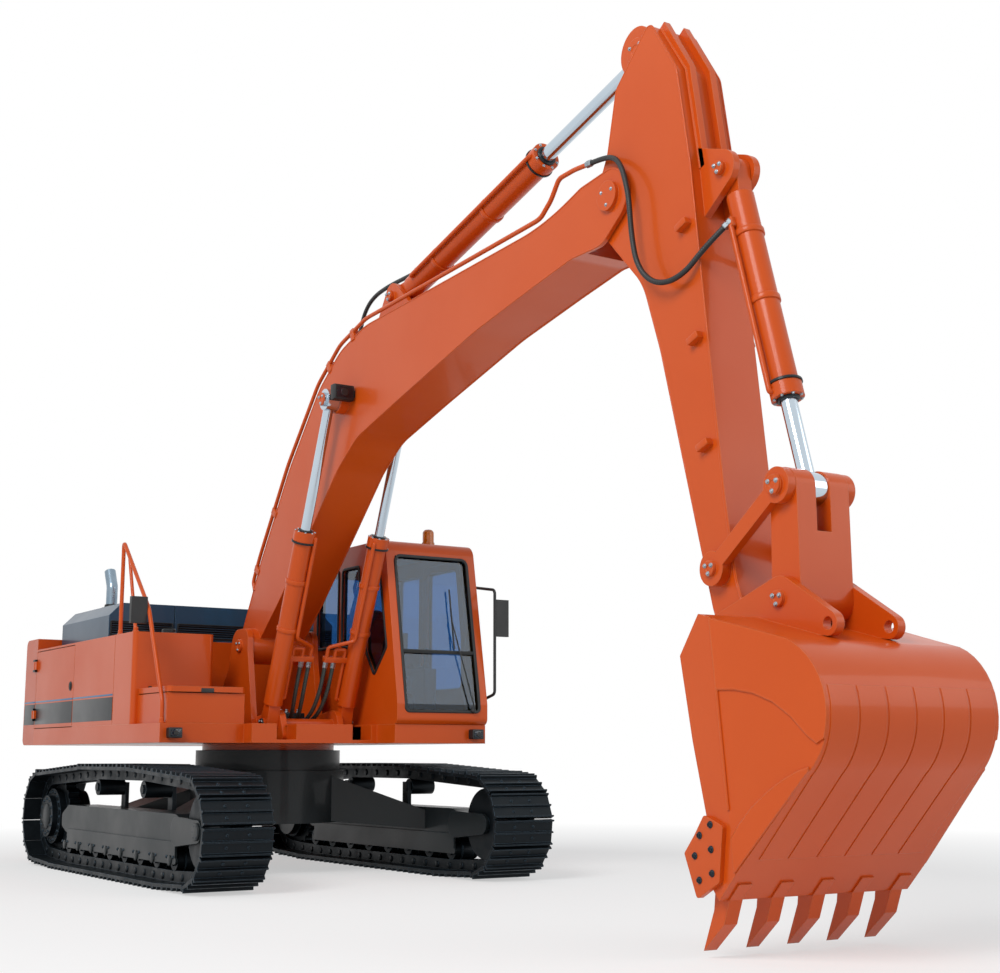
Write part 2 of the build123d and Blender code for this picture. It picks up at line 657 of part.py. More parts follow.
def access_door(side):
    """Side door of the engine or pump room, hinged at its rear edge."""
    outer = side * HALF_WIDTH
    inner = side * (HALF_WIDTH - PANEL_THICKNESS)
    y0 = min(outer, inner)
    y1 = max(outer, inner)
    low = DECK_TOP + PANEL_GAP
    door = block(COUNTERWEIGHT_FRONT + PANEL_GAP, DOOR_FRONT, y0, y1, low, PANEL_TOP - WALKWAY - PANEL_GAP)
    for z in DOOR_HINGE_Z:
        door += hinge_leaf(DOOR_HINGE_X, side * HINGE_Y, z, side)
    return door


def fuel_tank():
    """Fuel tank in front of the right side panel."""
    tank = block(TANK_REAR, TANK_FRONT, -HALF_WIDTH, BOX_INNER, DECK_TOP, PANEL_TOP)
    return fillet(tank.edges().filter_by(Axis.Z).sort_by(Axis.X)[-2:], 40)


def tool_box():
    """Open box on the right front of the deck."""
    top = TOOL_BOX_TOP - LID_THICKNESS - PANEL_GAP
    box = block(TANK_FRONT, TOOL_BOX_FRONT, BOX_OUTER, BOX_INNER, DECK_TOP, top)
    return box - block(TANK_FRONT + 20, TOOL_BOX_FRONT - 20, BOX_OUTER + 20, BOX_INNER - 20, DECK_TOP + 20, top)


def tool_box_lid():
    """Lid of the tool box, hinged along its rear edge."""
    low = TOOL_BOX_TOP - LID_THICKNESS
    lid = block(TANK_FRONT + PANEL_GAP, TOOL_BOX_FRONT + 20, BOX_OUTER, BOX_INNER, low, TOOL_BOX_TOP)
    lid = fillet(lid.edges().filter_by(Axis.Z).sort_by(Axis.X)[-2:], 40)
    for y in LID_HINGE_Y:
        lid += cross_tube(HINGE_RADIUS, HINGE_LENGTH, LID_HINGE_X, LID_HINGE_Z, y)
        half = HINGE_LENGTH / 2
        lid += block(LID_HINGE_X, LID_HINGE_X + HINGE_LEAF, y - half, y + half, TOOL_BOX_TOP, LID_HINGE_Z)
        lid -= cross_tube(HINGE_PIN + PIVOT_GAP, HINGE_LENGTH + 10, LID_HINGE_X, LID_HINGE_Z, y)
    return lid


def tube_run(points, radius, bend):
    """Bent round tube through a list of points."""
    path = FilletPolyline(*points, radius=bend)
    section = Plane(path @ 0, z_dir=path % 0) * Circle(radius)
    return sweep(section, path)


RAIL_Y = -HALF_WIDTH + TOOL_BOX_INSET / 2


def handrails():
    """Grab rails beside the tool box and on top of the tank."""
    rail = tube_run(
        [
            (TOOL_BOX_FRONT - 45, RAIL_Y, DECK_TOP),
            (TOOL_BOX_FRONT - 45, RAIL_Y, DECK_TOP + 190),
            (TOOL_BOX_FRONT - 470, RAIL_Y, 2400),
            (TANK_REAR + 40, RAIL_Y, 3090),
            (TANK_REAR + 40, RAIL_Y, PANEL_TOP),
        ],
        RAIL_RADIUS,
        90,
    )
    inner = tube_run(
        [
            (TANK_FRONT - 60, BOX_INNER - 40, PANEL_TOP),
            (TANK_FRONT - 60, BOX_INNER - 40, 3090),
            (TANK_REAR + 60, BOX_INNER - 40, 3090),
            (TANK_REAR + 60, BOX_INNER - 40, PANEL_TOP),
        ],
        RAIL_RADIUS,
        90,
    )
    return Compound([rail, inner])


def exhaust_pipe():
    """Exhaust stack with a slanted end."""
    x = -1850
    y = -1000
    pipe = tube_run([(x, y, HOOD_TOP), (x, y, 2840), (x - 90, y, 3010)], 58, 110)
    return pipe - tube_run([(x, y, HOOD_TOP - 1), (x, y, 2840), (x - 91, y, 3012)], 52, 110)


CAB_MIDDLE_Y = (CAB_RIGHT + HALF_WIDTH) / 2


def cab_side(inset):
    """Side view of the cab."""
    return rounded(
        [
            (CAB_REAR + inset, DECK_TOP + inset, 40),
            (CAB_FRONT - inset, DECK_TOP + inset, 60),
            (CAB_FRONT - inset, DECK_TOP + 190, 60),
            (CAB_ROOF_FRONT + 20 - inset, CAB_TOP - inset, 130),
            (CAB_REAR + inset, CAB_TOP - inset, 110),
        ]
    )


def window(corners, depth, y):
    """Cutter for a side window."""
    return plate(rounded(corners), depth, y)


def door_outline(inset):
    """Side view of the cab door."""
    return rounded(
        [
            (CAB_DOOR_REAR + inset, DOOR_SILL + inset, 60),
            (CAB_DOOR_FRONT - inset, DOOR_SILL + inset, 60),
            (CAB_DOOR_FRONT - inset, 2200, 200),
            (CAB_DOOR_FRONT - 120 - inset, DOOR_TOP - inset, 90),
            (CAB_DOOR_REAR + inset, DOOR_TOP - inset, 60),
        ]
    )


RIGHT_WINDOWS = [
    [(480, 2130, 40), (900, 2080, 40), (830, 2880, 40), (480, 2880, 40)],
    [(990, 2060, 40), (1160, 1830, 30), (1400, 2080, 40), (1250, 2800, 60), (930, 2860, 40)],
    [(-60, 2130, 40), (400, 2130, 40), (400, 2880, 40), (-60, 2880, 60)],
]
LEFT_WINDOW = [(-60, 2130, 40), (390, 2130, 40), (390, 2880, 40), (-60, 2880, 60)]


def front_cut(inset):
    """Cutter for the front window, a slab across the front wall."""
    y0 = CAB_RIGHT + 90 + inset
    y1 = HALF_WIDTH - 90 - inset
    slab = block(CAB_ROOF_FRONT - 300, CAB_FRONT + 60, y0, y1, DECK_TOP + 120 + inset, CAB_TOP - 150 - inset)
    return slab


def cab_shell():
    """Cab walls and roof, hollow, with its windows and door opening cut."""
    shell = plate(cab_side(0), CAB_WIDTH, CAB_MIDDLE_Y)
    shell -= plate(cab_side(CAB_WALL), CAB_WIDTH - 2 * CAB_WALL, CAB_MIDDLE_Y)
    shell -= front_cut(0)
    for corners in RIGHT_WINDOWS:
        shell -= window(corners, 2 * CAB_WALL + 40, CAB_RIGHT)
    shell -= window(LEFT_WINDOW, 2 * CAB_WALL + 40, HALF_WIDTH)
    shell -= plate(door_outline(0), 2 * CAB_WALL + 40, HALF_WIDTH)
    rear = block(CAB_REAR - 40, CAB_REAR + CAB_WALL + 20, CAB_RIGHT + 110, HALF_WIDTH - 110, 2150, 2880)
    return shell - rear


def cab_glass():
    """Panes of the cab, each set in the middle of its wall."""
    front = plate(cab_side(20), CAB_WIDTH, CAB_MIDDLE_Y)
    front -= plate(cab_side(20 + GLASS_THICKNESS), CAB_WIDTH + 10, CAB_MIDDLE_Y)
    front &= front_cut(0)
    front &= block(CAB_ROOF_FRONT - 140, CAB_FRONT + 60, CAB_RIGHT, HALF_WIDTH, DECK_TOP, CAB_TOP)
    panes = [front]
    for corners in RIGHT_WINDOWS:
        panes.append(window(corners, GLASS_THICKNESS, CAB_RIGHT + 24))
    panes.append(window(LEFT_WINDOW, GLASS_THICKNESS, HALF_WIDTH - 24))
    panes.append(block(CAB_REAR + 20, CAB_REAR + 28, CAB_RIGHT + 110, HALF_WIDTH - 110, 2150, 2880))
    return Compound([solid for pane in panes for solid in pane.solids()])


def door_window(inset):
    """Window outline of the cab door."""
    return rounded(
        [
            (CAB_DOOR_REAR + 80 + inset, 1720 + inset, 60),
            (CAB_DOOR_FRONT - 80 - inset, 1720 + inset, 60),
            (CAB_DOOR_FRONT - 85 - inset, 2200, 150),
            (CAB_DOOR_FRONT - 190 - inset, DOOR_TOP - 75 - inset, 60),
            (CAB_DOOR_REAR + 80 + inset, DOOR_TOP - 75 - inset, 50),
        ]
    )


def cab_door():
    """Door frame, as thick as the cab's wall, with its window cut."""
    y = HALF_WIDTH - CAB_WALL / 2
    door = plate(door_outline(DOOR_GAP), CAB_WALL, y) - plate(door_window(0), CAB_WALL + 20, y)
    for z in CAB_HINGE_Z:
        door += hinge_leaf(CAB_HINGE_X, HINGE_Y, z, 1)
    return door


def cab_door_glass():
    """Pane of the cab door."""
    return plate(door_window(0), GLASS_THICKNESS, HALF_WIDTH - 24)


def seat():
    """Operator's seat: base, cushion and back."""
    y = CAB_MIDDLE_Y
    base = block(220, 620, y - 200, y + 200, DECK_TOP + CAB_WALL, DECK_TOP + 330)
    cushion = block(170, 690, y - 250, y + 250, DECK_TOP + 330, DECK_TOP + 460)
    back = block(130, 260, y - 240, y + 240, DECK_TOP + 460, DECK_TOP + 1150)
    return base + cushion + back


def console():
    """Side consoles with levers, pedals and a monitor post."""
    floor = DECK_TOP + CAB_WALL
    y = CAB_MIDDLE_Y
    shapes = []
    for side in (-1, 1):
        box = block(330, 800, y + side * 330 - 65, y + side * 330 + 65, floor, DECK_TOP + 560)
        box += Pos(720, y + side * 330, DECK_TOP + 660) * Cylinder(22, 200)
        shapes.append(box)
        pedal = block(1150, 1290, y + side * 120 - 50, y + side * 120 + 50, floor, floor + 40)
        pedal += Pos(1250, y + side * 120, floor + 130) * Cylinder(14, 200)
        shapes.append(pedal)
    post = block(1180, 1240, CAB_RIGHT + 90, CAB_RIGHT + 130, floor, 2180)
    post += block(1150, 1200, CAB_RIGHT + 80, CAB_RIGHT + 330, 2050, 2230)
    shapes.append(post)
    return Compound(shapes)


MIRROR_TUBE = 14


def mirrors():
    """Mirrors: left on a tube bracket from the cab, right on the rail."""
    y = HALF_WIDTH + 60
    points = [
        (1400, HALF_WIDTH, 1600),
        (1400, y, 1600),
        (1650, y, 1660),
        (1650, y, 2640),
        (1250, y, 2700),
        (1250, HALF_WIDTH, 2700),
    ]
    left = tube_run(points, MIRROR_TUBE, 45)
    left += block(1620, 1655, y + MIRROR_TUBE - 6, y + MIRROR_TUBE + 140, 2200, 2550)
    outer = RAIL_Y - RAIL_RADIUS - PIVOT_GAP
    right = block(TOOL_BOX_FRONT - 500, TOOL_BOX_FRONT - 450, outer - 150, outer, 2260, 2500)
    return Compound([left, right])


def lamp(x, y, z):
    """Square work lamp with a short foot."""
    body = block(x, x + 70, y - 60, y + 60, z, z + 90)
    return fillet(body.edges().filter_by(Axis.X), 14)


def work_lamps():
    """Work lamps in the deck's front edge."""
    z = DECK_BOTTOM + 40
    right = lamp(TOOL_BOX_FRONT, -HALF_WIDTH + 120, z)
    return Compound([right, lamp(CAB_FRONT - 40, HALF_WIDTH - 120, z)])


def beacon():
    """Beacon on the cab roof."""
    x = 1000
    y = HALF_WIDTH - 300
    base = Pos(x, y, CAB_TOP + 25) * Cylinder(62, 50)
    dome = Pos(x, y, CAB_TOP + 50) * Cylinder(55, 130, align=(Align.CENTER, Align.CENTER, Align.MIN))
    return base + fillet(dome.edges().sort_by(Axis.Z)[-1:], 40)


def boom_outline():
    """Side view of the boom, along the line from its foot to its tip."""
    return rounded(
        [
            (-200, -95, 120),
            (-235, 225, 110),
            (482, 690, 1500),
            (1354, 1160, 1500),
            (2186, 1490, 900),
            (2676, 1555, 700),
            (3160, 1465, 800),
            (5730, 360, 2500),
            (6200, 290, 260),
            (BOOM_LENGTH + FORK_RADIUS, 140, 180),
            (BOOM_LENGTH + FORK_RADIUS - 10, -170, 180),
            (6210, -245, 200),
            (5880, -90, 300),
            (5387, 50, 800),
            (4600, 262, 2500),
            (3453, 490, 1500),
            (2620, 645, 700),
            (2207, 590, 600),
            (1534, 378, 1500),
            (700, 124, 1500),
        ]
    )


def boom():
    """Welded box boom with a forked tip, bosses for its pins and ears for the arm cylinder."""
    outline = boom_outline()
    body = plate(outline, BOOM_WIDTH)
    fork_end = Pos(BOOM_LENGTH, 0) * Rectangle(2 * (FORK_DEPTH + 3 * BOOM_PLATE), 4 * FORK_DEPTH)
    body -= plate(offset(outline, -BOOM_PLATE) - fork_end, BOOM_WIDTH - 2 * BOOM_PLATE)
    slot = disc(FORK_DEPTH, BOOM_LENGTH, 0)
    slot += Pos(BOOM_LENGTH + FORK_DEPTH, 0) * Rectangle(2 * FORK_DEPTH, 2 * FORK_DEPTH)
    body -= plate(slot, FORK_GAP)
    body += cross_tube(BOOM_FOOT_RADIUS, BOOM_FOOT_WIDTH, 0, 0)
    body += cross_tube(112, 2 * (CYLINDER_EYE_INNER - PIVOT_GAP), BOOM_ROD_U, BOOM_ROD_V)
    ear = hull(disc(115, ARM_CYLINDER_U, ARM_CYLINDER_V), disc(30, 3080, 1420), disc(30, 3740, 1160))
    body += pair(ear, 50, EYE_WIDTH / 2 + EYE_SIDE_GAP)
    body += cross_tube(48, EYE_WIDTH + 160, ARM_CYLINDER_U, ARM_CYLINDER_V)
    for side in (-1, 1):
        body += cross_tube(105, FORK_BOSS, BOOM_LENGTH, 0, side * (BOOM_WIDTH + FORK_BOSS) / 2)
    body -= cross_tube(60 + PIVOT_GAP, BOOM_FOOT_WIDTH + 10, 0, 0)
    return placed(body + cross_tube(62, FORK_GAP + FORK_BOSS, BOOM_LENGTH, 0), BOOM_FOOT, BOOM_ANGLE)


ARM_NOSE = ((-894, 783), (-705, 305))


def arm_outline():
    """Side view of the arm, along the line from the boom tip to the bucket pin."""
    return rounded(
        [
            (*ARM_NOSE[0], 50),
            (*ARM_NOSE[1], 80),
            (-330, 50, 250),
            (-120, -185, 150),
            (220, -180, 160),
            (760, 45, 500),
            (1278, 34, 1500),
            (ARM_LENGTH - 220, -128, 200),
            (ARM_LENGTH + 125, -125, 122),
            (ARM_LENGTH + 125, 125, 122),
            (ARM_LENGTH - 300, 130, 400),
            (2456, 228, 1500),
            (314, 750, 900),
            (-394, 885, 150),
        ]
    )


def eye_pocket(grown):
    """Outline of the slot in the arm's nose that the rod's eye moves in, along the nose's edge."""
    nose, shoulder = ARM_NOSE
    length, angle = between(shoulder, nose)
    end = polar((ARM_ROD_U, ARM_ROD_V), EYE_SLIDE, angle)
    return hull(disc(EYE_SWEEP + grown, ARM_ROD_U, ARM_ROD_V), disc(EYE_SWEEP - 30 + grown, *end))


def arm():
    """Welded box arm with its pivot boss, the two cylinder brackets and the bosses of the bucket end."""
    outline = arm_outline()
    body = plate(outline, ARM_WIDTH)
    cavity = offset(outline, -ARM_PLATE) - disc(200, 0, 0) - Pos(ARM_LENGTH, 0) * Rectangle(620, 600)
    cavity -= eye_pocket(ARM_PLATE)
    body -= plate(cavity, ARM_WIDTH - 2 * ARM_PLATE)
    body -= plate(eye_pocket(0), EYE_WIDTH + 2 * EYE_SIDE_GAP)
    body += cross_tube(150, FORK_GAP - 2 * PIVOT_GAP, 0, 0)
    body -= cross_tube(62 + PIVOT_GAP, FORK_GAP + 10, 0, 0)
    ear = hull(disc(172, ARM_ROD_U, ARM_ROD_V), disc(20, -740, 440), disc(20, -850, 690))
    body += pair(ear, 52, EYE_WIDTH / 2 + EYE_SIDE_GAP)
    front = hull(disc(122, BUCKET_CYLINDER_U, BUCKET_CYLINDER_V), disc(20, 180, 745), disc(20, 640, 640))
    body += pair(front, 50, EYE_WIDTH / 2 + EYE_SIDE_GAP)
    body += cross_tube(46, EYE_WIDTH + 160, BUCKET_CYLINDER_U, BUCKET_CYLINDER_V)
    width = EAR_GAP - 2 * PIVOT_GAP
    body += cross_tube(124, width, ARM_LENGTH, 0)
    body += cross_tube(104, width, LINK_PIN_U, LINK_PIN_V)
    body -= cross_tube(50 + PIVOT_GAP, width + 10, ARM_LENGTH, 0)
    body -= cross_tube(50 + PIVOT_GAP, width + 10, LINK_PIN_U, LINK_PIN_V)
    return placed(body, BOOM_TIP, ARM_ANGLE)


def bar(radius, start, end, y):
    """Round bar along X between two places."""
    return Pos((start + end) / 2, y, 0) * Rot(0, 90, 0) * Cylinder(radius, end - start)


def cylinder_tube(diameter, length, start, y=0):
    """Cylinder tube along X from its foot pin at the origin, with its eye and gland."""
    radius = diameter / 2
    tube = bar(radius, start, length, y) + bar(radius + GLAND_STEP, length - GLAND_LENGTH, length, y)
    return tube + plate(hull(disc(radius * 0.98, 0, 0), disc(radius * 0.6, start, 0)), EYE_WIDTH, y)


def bored(tube, diameter, length, rod, foot_bore, start, y=0):
    """A cylinder tube hollowed out for its rod, with a bore for its foot pin."""
    inner = diameter / 2 - TUBE_WALL
    tube -= bar(inner, start + TUBE_BOTTOM, length - GLAND_LENGTH, y)
    tube -= bar(rod / 2 + RUNNING_GAP, length - GLAND_LENGTH - 10, length + 10, y)
    return tube - cross_tube(foot_bore, EYE_WIDTH + 20, 0, 0, y)


def cylinder_rod(rod, reach, tail, eye_radius, y=0):
    """Piston rod along X, from inside its tube to its eye at the reach."""
    return bar(rod / 2, tail, reach, y) + plate(disc(eye_radius, reach, 0), EYE_WIDTH, y)


BOOM_CYLINDER_REACH, BOOM_CYLINDER_ANGLE = between(BOOM_CYLINDER_FOOT, BOOM_ROD_PIN)
ARM_CYLINDER_REACH, ARM_CYLINDER_ANGLE = between(ARM_CYLINDER_PIN, ARM_ROD_PIN)
BUCKET_CYLINDER_REACH, BUCKET_CYLINDER_ANGLE = between(BUCKET_CYLINDER_PIN, ROD_LINK_PIN)
BOOM_TUBE_START = 190
ARM_TUBE_START = 210
BUCKET_TUBE_START = 190


def boom_tubes():
    """Tubes of the two boom cylinders."""
    y = BOOM_CYLINDER_Y
    tube = cylinder_tube(BOOM_TUBE_DIAMETER, BOOM_TUBE_LENGTH, BOOM_TUBE_START, y)
    foot = 44 + PIVOT_GAP
    tube = bored(tube, BOOM_TUBE_DIAMETER, BOOM_TUBE_LENGTH, BOOM_ROD_DIAMETER, foot, BOOM_TUBE_START, y)
    return placed(both_sides(tube), BOOM_CYLINDER_FOOT, BOOM_CYLINDER_ANGLE)


def boom_rods():
    """Rods of the two boom cylinders, each with its eye and pin cap."""
    rod = cylinder_rod(BOOM_ROD_DIAMETER, BOOM_CYLINDER_REACH, BOOM_ROD_TAIL, 95, BOOM_CYLINDER_Y)
    rod += cross_tube(62, 24, BOOM_CYLINDER_REACH, 0, BOOM_CYLINDER_Y + EYE_WIDTH / 2 + 12)
    return placed(both_sides(rod), BOOM_CYLINDER_FOOT, BOOM_CYLINDER_ANGLE)


def arm_tube():
    """Tube of the arm cylinder."""
    tube = cylinder_tube(ARM_TUBE_DIAMETER, ARM_TUBE_LENGTH, ARM_TUBE_START)
    foot = 48 + PIVOT_GAP
    tube = bored(tube, ARM_TUBE_DIAMETER, ARM_TUBE_LENGTH, ARM_ROD_DIAMETER, foot, ARM_TUBE_START)
    return placed(tube, ARM_CYLINDER_PIN, ARM_CYLINDER_ANGLE)


def arm_rod():
    """Rod of the arm cylinder."""
    rod = cylinder_rod(ARM_ROD_DIAMETER, ARM_CYLINDER_REACH, ARM_ROD_TAIL, 105)
    return placed(rod, ARM_CYLINDER_PIN, ARM_CYLINDER_ANGLE)


def bucket_tube():
    """Tube of the bucket cylinder."""
    tube = cylinder_tube(BUCKET_TUBE_DIAMETER, BUCKET_TUBE_LENGTH, BUCKET_TUBE_START)
    foot = 46 + PIVOT_GAP
    tube = bored(tube, BUCKET_TUBE_DIAMETER, BUCKET_TUBE_LENGTH, BUCKET_ROD_DIAMETER, foot, BUCKET_TUBE_START)
    return placed(tube, BUCKET_CYLINDER_PIN, BUCKET_CYLINDER_ANGLE)


def bucket_rod():
    """Rod of the bucket cylinder."""
    rod = cylinder_rod(BUCKET_ROD_DIAMETER, BUCKET_CYLINDER_REACH, BUCKET_ROD_TAIL, 98)
    return placed(rod, BUCKET_CYLINDER_PIN, BUCKET_CYLINDER_ANGLE)


def side_links():
    """Two guide links outside the arm, joined by their pin through the arm."""
    reach, angle = between(SIDE_LINK_PIN, ROD_LINK_PIN)
    face = disc(SIDE_LINK_EYE, 0, 0) + disc(SIDE_LINK_EYE, reach, 0)
    face += Pos(reach / 2, 0) * Rectangle(reach, SIDE_LINK_WAIST)
    links = pair(face, EAR_THICKNESS, EAR_GAP / 2)
    links += cross_tube(50, EAR_GAP + 2 * EAR_THICKNESS + 24, 0, 0)
    for side in (-1, 1):
        links += cross_tube(62, 24, reach, 0, side * (EAR_GAP / 2 + EAR_THICKNESS + 6))
    return placed(links, SIDE_LINK_PIN, angle)


def h_link():
    """Link from the bucket to the top of the side links, forked round the rod's eye."""
    width = EAR_GAP - 2 * PIVOT_GAP
    reach, angle = between(H_LINK_PIN, ROD_LINK_PIN)
    face = hull(disc(118, 0, 0), disc(108, reach, 0))
    link = plate(face, width)
    far = reach + 300
    start = reach - 190
    notch = make_face(Polyline((300, 0), (start, 200), (far, 200), (far, -200), (start, -200), close=True))
    link -= plate(notch, EYE_WIDTH + 2 * PIVOT_GAP)
    link -= cross_tube(50 + PIVOT_GAP, width + 10, 0, 0)
    return placed(link, H_LINK_PIN, angle)


def bucket_outline():
    """Side view of the bucket, along the line from its pin to the tips of its teeth."""
    edges = [
        Line((-35, 290), (205, 905)),
        ThreePointArc((205, 905), (545, 1132), (920, 948)),
        Line((920, 948), (1515, 240)),
        Line((1515, 240), (1400, 165)),
        Line((1400, 165), (1090, 205)),
        Line((1090, 205), (647, 142)),
        Line((647, 142), (170, 100)),
        Line((170, 100), (-35, 290)),
    ]
    return make_face(edges)


def bucket_taper(inset):
    """Wedge that narrows the bucket towards its back."""
    half = BUCKET_WIDTH / 2 - inset
    back = BUCKET_BACK_WIDTH / 2 - inset
    points = [(-half, -400), (half, -400), (half, 390), (back, 1140), (-back, 1140), (-half, 390)]
    face = make_face(Polyline(*points, close=True))
    return extrude(Plane((-600, 0, 0), (0, 1, 0), (1, 0, 0)) * face, 2600)


def bucket():
    """Bucket shell with its ears, cross tube and lip."""
    outline = bucket_outline()
    body = plate(outline, BUCKET_WIDTH) & bucket_taper(0)
    edge = [(215, 160), (647, 190), (1090, 240), (1400, 210), (1470, 240), (1500, -100), (215, -100)]
    mouth = make_face(Polyline(*edge, close=True))
    cavity = plate(offset(outline, -BUCKET_PLATE) + mouth, BUCKET_WIDTH) & bucket_taper(BUCKET_PLATE)
    body -= cavity
    upper = disc(130, H_LINK_U, H_LINK_V)
    ear = hull(disc(138, 0, 0), upper) + hull(upper, disc(70, *LIFTING_EYE), disc(30, 40, 500))
    ear += hull(disc(100, 0, 0), disc(40, 130, 260), disc(40, -30, 330))
    ears = pair(ear, EAR_THICKNESS, EAR_GAP / 2)
    ears -= cavity
    body += ears
    body += cross_tube(50, EAR_GAP + 2 * EAR_THICKNESS + 24, 0, 0)
    body += cross_tube(50, EAR_GAP + 2 * EAR_THICKNESS + 24, H_LINK_U, H_LINK_V)
    body -= cross_tube(36, EAR_GAP + 4 * EAR_THICKNESS, *LIFTING_EYE)
    return placed(body, BUCKET_PIN, BUCKET_ANGLE)


def bucket_teeth():
    """Adapters and teeth on the lip."""
    points = [(1440, 345), (1380, 300), (1440, 150), (1560, 120), (TOOTH_REACH, 0), (1640, 190), (1515, 255)]
    side = make_face(Polyline(*points, close=True))
    lip = plate(bucket_outline(), BUCKET_WIDTH + 200)
    step = (BUCKET_WIDTH - 215) / (TOOTH_COUNT - 1)
    teeth = [plate(side, 92, (i - (TOOTH_COUNT - 1) / 2) * step) - lip for i in range(TOOTH_COUNT)]
    return placed(Compound([solid for tooth in teeth for solid in tooth.solids()]), BUCKET_PIN, BUCKET_ANGLE)


def side_cutters():
    """Bolted cutters on the front edges of the bucket's sides."""
    face = rounded(
        [
            (1130, 360, 20),
            (1060, 215, 20),
            (1160, 120, 20),
            (1250, 20, 12),
            (1500, 95, 20),
            (1420, 290, 20),
        ]
    )
    cutter = plate(face, 30, BUCKET_WIDTH / 2 + 15)
    return placed(both_sides(cutter), BUCKET_PIN, BUCKET_ANGLE)


os.makedirs("parts", exist_ok=True)
one_track = track()
one_frame = track_frame()
nodes = {
    "track_right": Pos(0, -TRACK_Y, 0) * one_track,
    "track_left": Pos(0, TRACK_Y, 0) * one_track,
    "drive_sprockets": sprockets(),
    "front_idlers": idlers(),
    "lower_rollers": lower_rollers(),
    "carrier_rollers": carrier_rollers(),
    "track_frame_right": mirror(one_frame, Plane.XZ),
    "track_frame_left": one_frame,
    "car_body": car_body(),
    "slewing_ring": slewing_ring(),
    "main_frame": main_frame(),
    "boom_bracket": boom_bracket(),
    "counterweight": counterweight(),
    "engine_block": engine_block(),
    "engine_hood": engine_hood(),
    "hood_cover": hood_cover(),
    "side_panels": side_panels(),
    "door_hinges": door_hinges(),
    "pump_door": access_door(-1),
    "radiator_door": access_door(1),
    "fuel_tank": fuel_tank(),
    "tool_box": tool_box(),
    "tool_box_lid": tool_box_lid(),
    "handrails": handrails(),
    "exhaust_pipe": exhaust_pipe(),
    "cab_shell": cab_shell(),
    "cab_glass": cab_glass(),
    "cab_door": cab_door(),
    "cab_door_glass": cab_door_glass(),
    "seat": seat(),
    "console": console(),
    "mirrors": mirrors(),
    "work_lamps": work_lamps(),
    "beacon": beacon(),
    "boom": boom(),
    "arm": arm(),
    "boom_tubes": boom_tubes(),
    "boom_rods": boom_rods(),
    "arm_tube": arm_tube(),
    "arm_rod": arm_rod(),
    "bucket_tube": bucket_tube(),
    "bucket_rod": bucket_rod(),
    "side_links": side_links(),
    "h_link": h_link(),
    "bucket": bucket(),
    "bucket_teeth": bucket_teeth(),
    "side_cutters": side_cutters(),
}
for name, shape in nodes.items():
    save(name, shape)
print(len(nodes), "nodes")
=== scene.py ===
import json
import math

import bmesh
import bpy
from mathutils import Matrix, Vector


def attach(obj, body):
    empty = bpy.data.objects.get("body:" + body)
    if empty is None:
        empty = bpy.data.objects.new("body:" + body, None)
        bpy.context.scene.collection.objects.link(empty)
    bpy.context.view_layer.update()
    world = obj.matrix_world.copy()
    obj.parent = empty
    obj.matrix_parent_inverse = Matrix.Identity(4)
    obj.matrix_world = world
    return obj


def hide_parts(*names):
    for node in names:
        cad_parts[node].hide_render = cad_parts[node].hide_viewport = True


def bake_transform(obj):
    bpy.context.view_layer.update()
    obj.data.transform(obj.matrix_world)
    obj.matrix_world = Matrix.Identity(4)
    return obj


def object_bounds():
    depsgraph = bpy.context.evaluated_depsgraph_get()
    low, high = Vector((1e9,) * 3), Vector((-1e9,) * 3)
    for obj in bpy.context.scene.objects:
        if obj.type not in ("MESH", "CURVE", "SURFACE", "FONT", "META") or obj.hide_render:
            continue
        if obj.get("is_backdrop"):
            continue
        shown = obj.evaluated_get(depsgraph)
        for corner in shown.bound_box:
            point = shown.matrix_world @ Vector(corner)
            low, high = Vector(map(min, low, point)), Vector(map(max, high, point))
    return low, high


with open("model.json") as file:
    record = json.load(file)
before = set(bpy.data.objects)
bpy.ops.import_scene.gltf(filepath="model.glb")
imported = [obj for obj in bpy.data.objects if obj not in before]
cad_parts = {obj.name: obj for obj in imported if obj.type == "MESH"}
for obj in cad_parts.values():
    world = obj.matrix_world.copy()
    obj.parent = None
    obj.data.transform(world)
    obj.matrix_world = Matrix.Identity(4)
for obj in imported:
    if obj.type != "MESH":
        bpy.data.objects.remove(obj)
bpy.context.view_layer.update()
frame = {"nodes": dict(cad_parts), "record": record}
nodes = frame["nodes"]
scene = bpy.context.scene
scene.view_settings.view_transform = "Standard"
print("frame loaded with", len(nodes), "nodes")


# Camera: where the photograph was taken from, and how far it sees
camera = {
    "place": (11.6749, -6.294, 1.0838),
    "yaw": 2.5746,
    "pitch": 0.1722,
    "lens": 55.83,
}


def addCamera():
    flat = math.cos(camera["pitch"])
    yaw = camera["yaw"]
    look = Vector((flat * math.cos(yaw), flat * math.sin(yaw), math.sin(camera["pitch"])))
    data = bpy.data.cameras.new("photoCamera")
    data.sensor_width = 36
    data.lens = camera["lens"]
    data.clip_end = 400
    viewer = bpy.data.objects.new("photoCamera", data)
    viewer.location = camera["place"]
    viewer.rotation_mode = "QUATERNION"
    viewer.rotation_quaternion = look.to_track_quat("-Z", "Y")
    scene.collection.objects.link(viewer)
    scene.camera = viewer


addCamera()
print("camera placed")


def linear(hexColor):
    channels = [int(hexColor[i : i + 2], 16) / 255 for i in (1, 3, 5)]
    return [c / 12.92 if c <= 0.04045 else ((c + 0.055) / 1.055) ** 2.4 for c in channels] + [1]


def addNode(tree, kind, settings=None, **inputs):
    node = tree.nodes.new(kind)
    for name, value in (settings or {}).items():
        setattr(node, name, value)
    for name, value in inputs.items():
        byNumber = name[0] == "i" and name[1:].isdigit()
        socket = node.inputs[int(name[1:])] if byNumber else node.inputs[name.replace("_", " ")]
        if isinstance(value, bpy.types.NodeSocket):
            tree.links.new(value, socket)
        else:
            socket.default_value = value
    return node


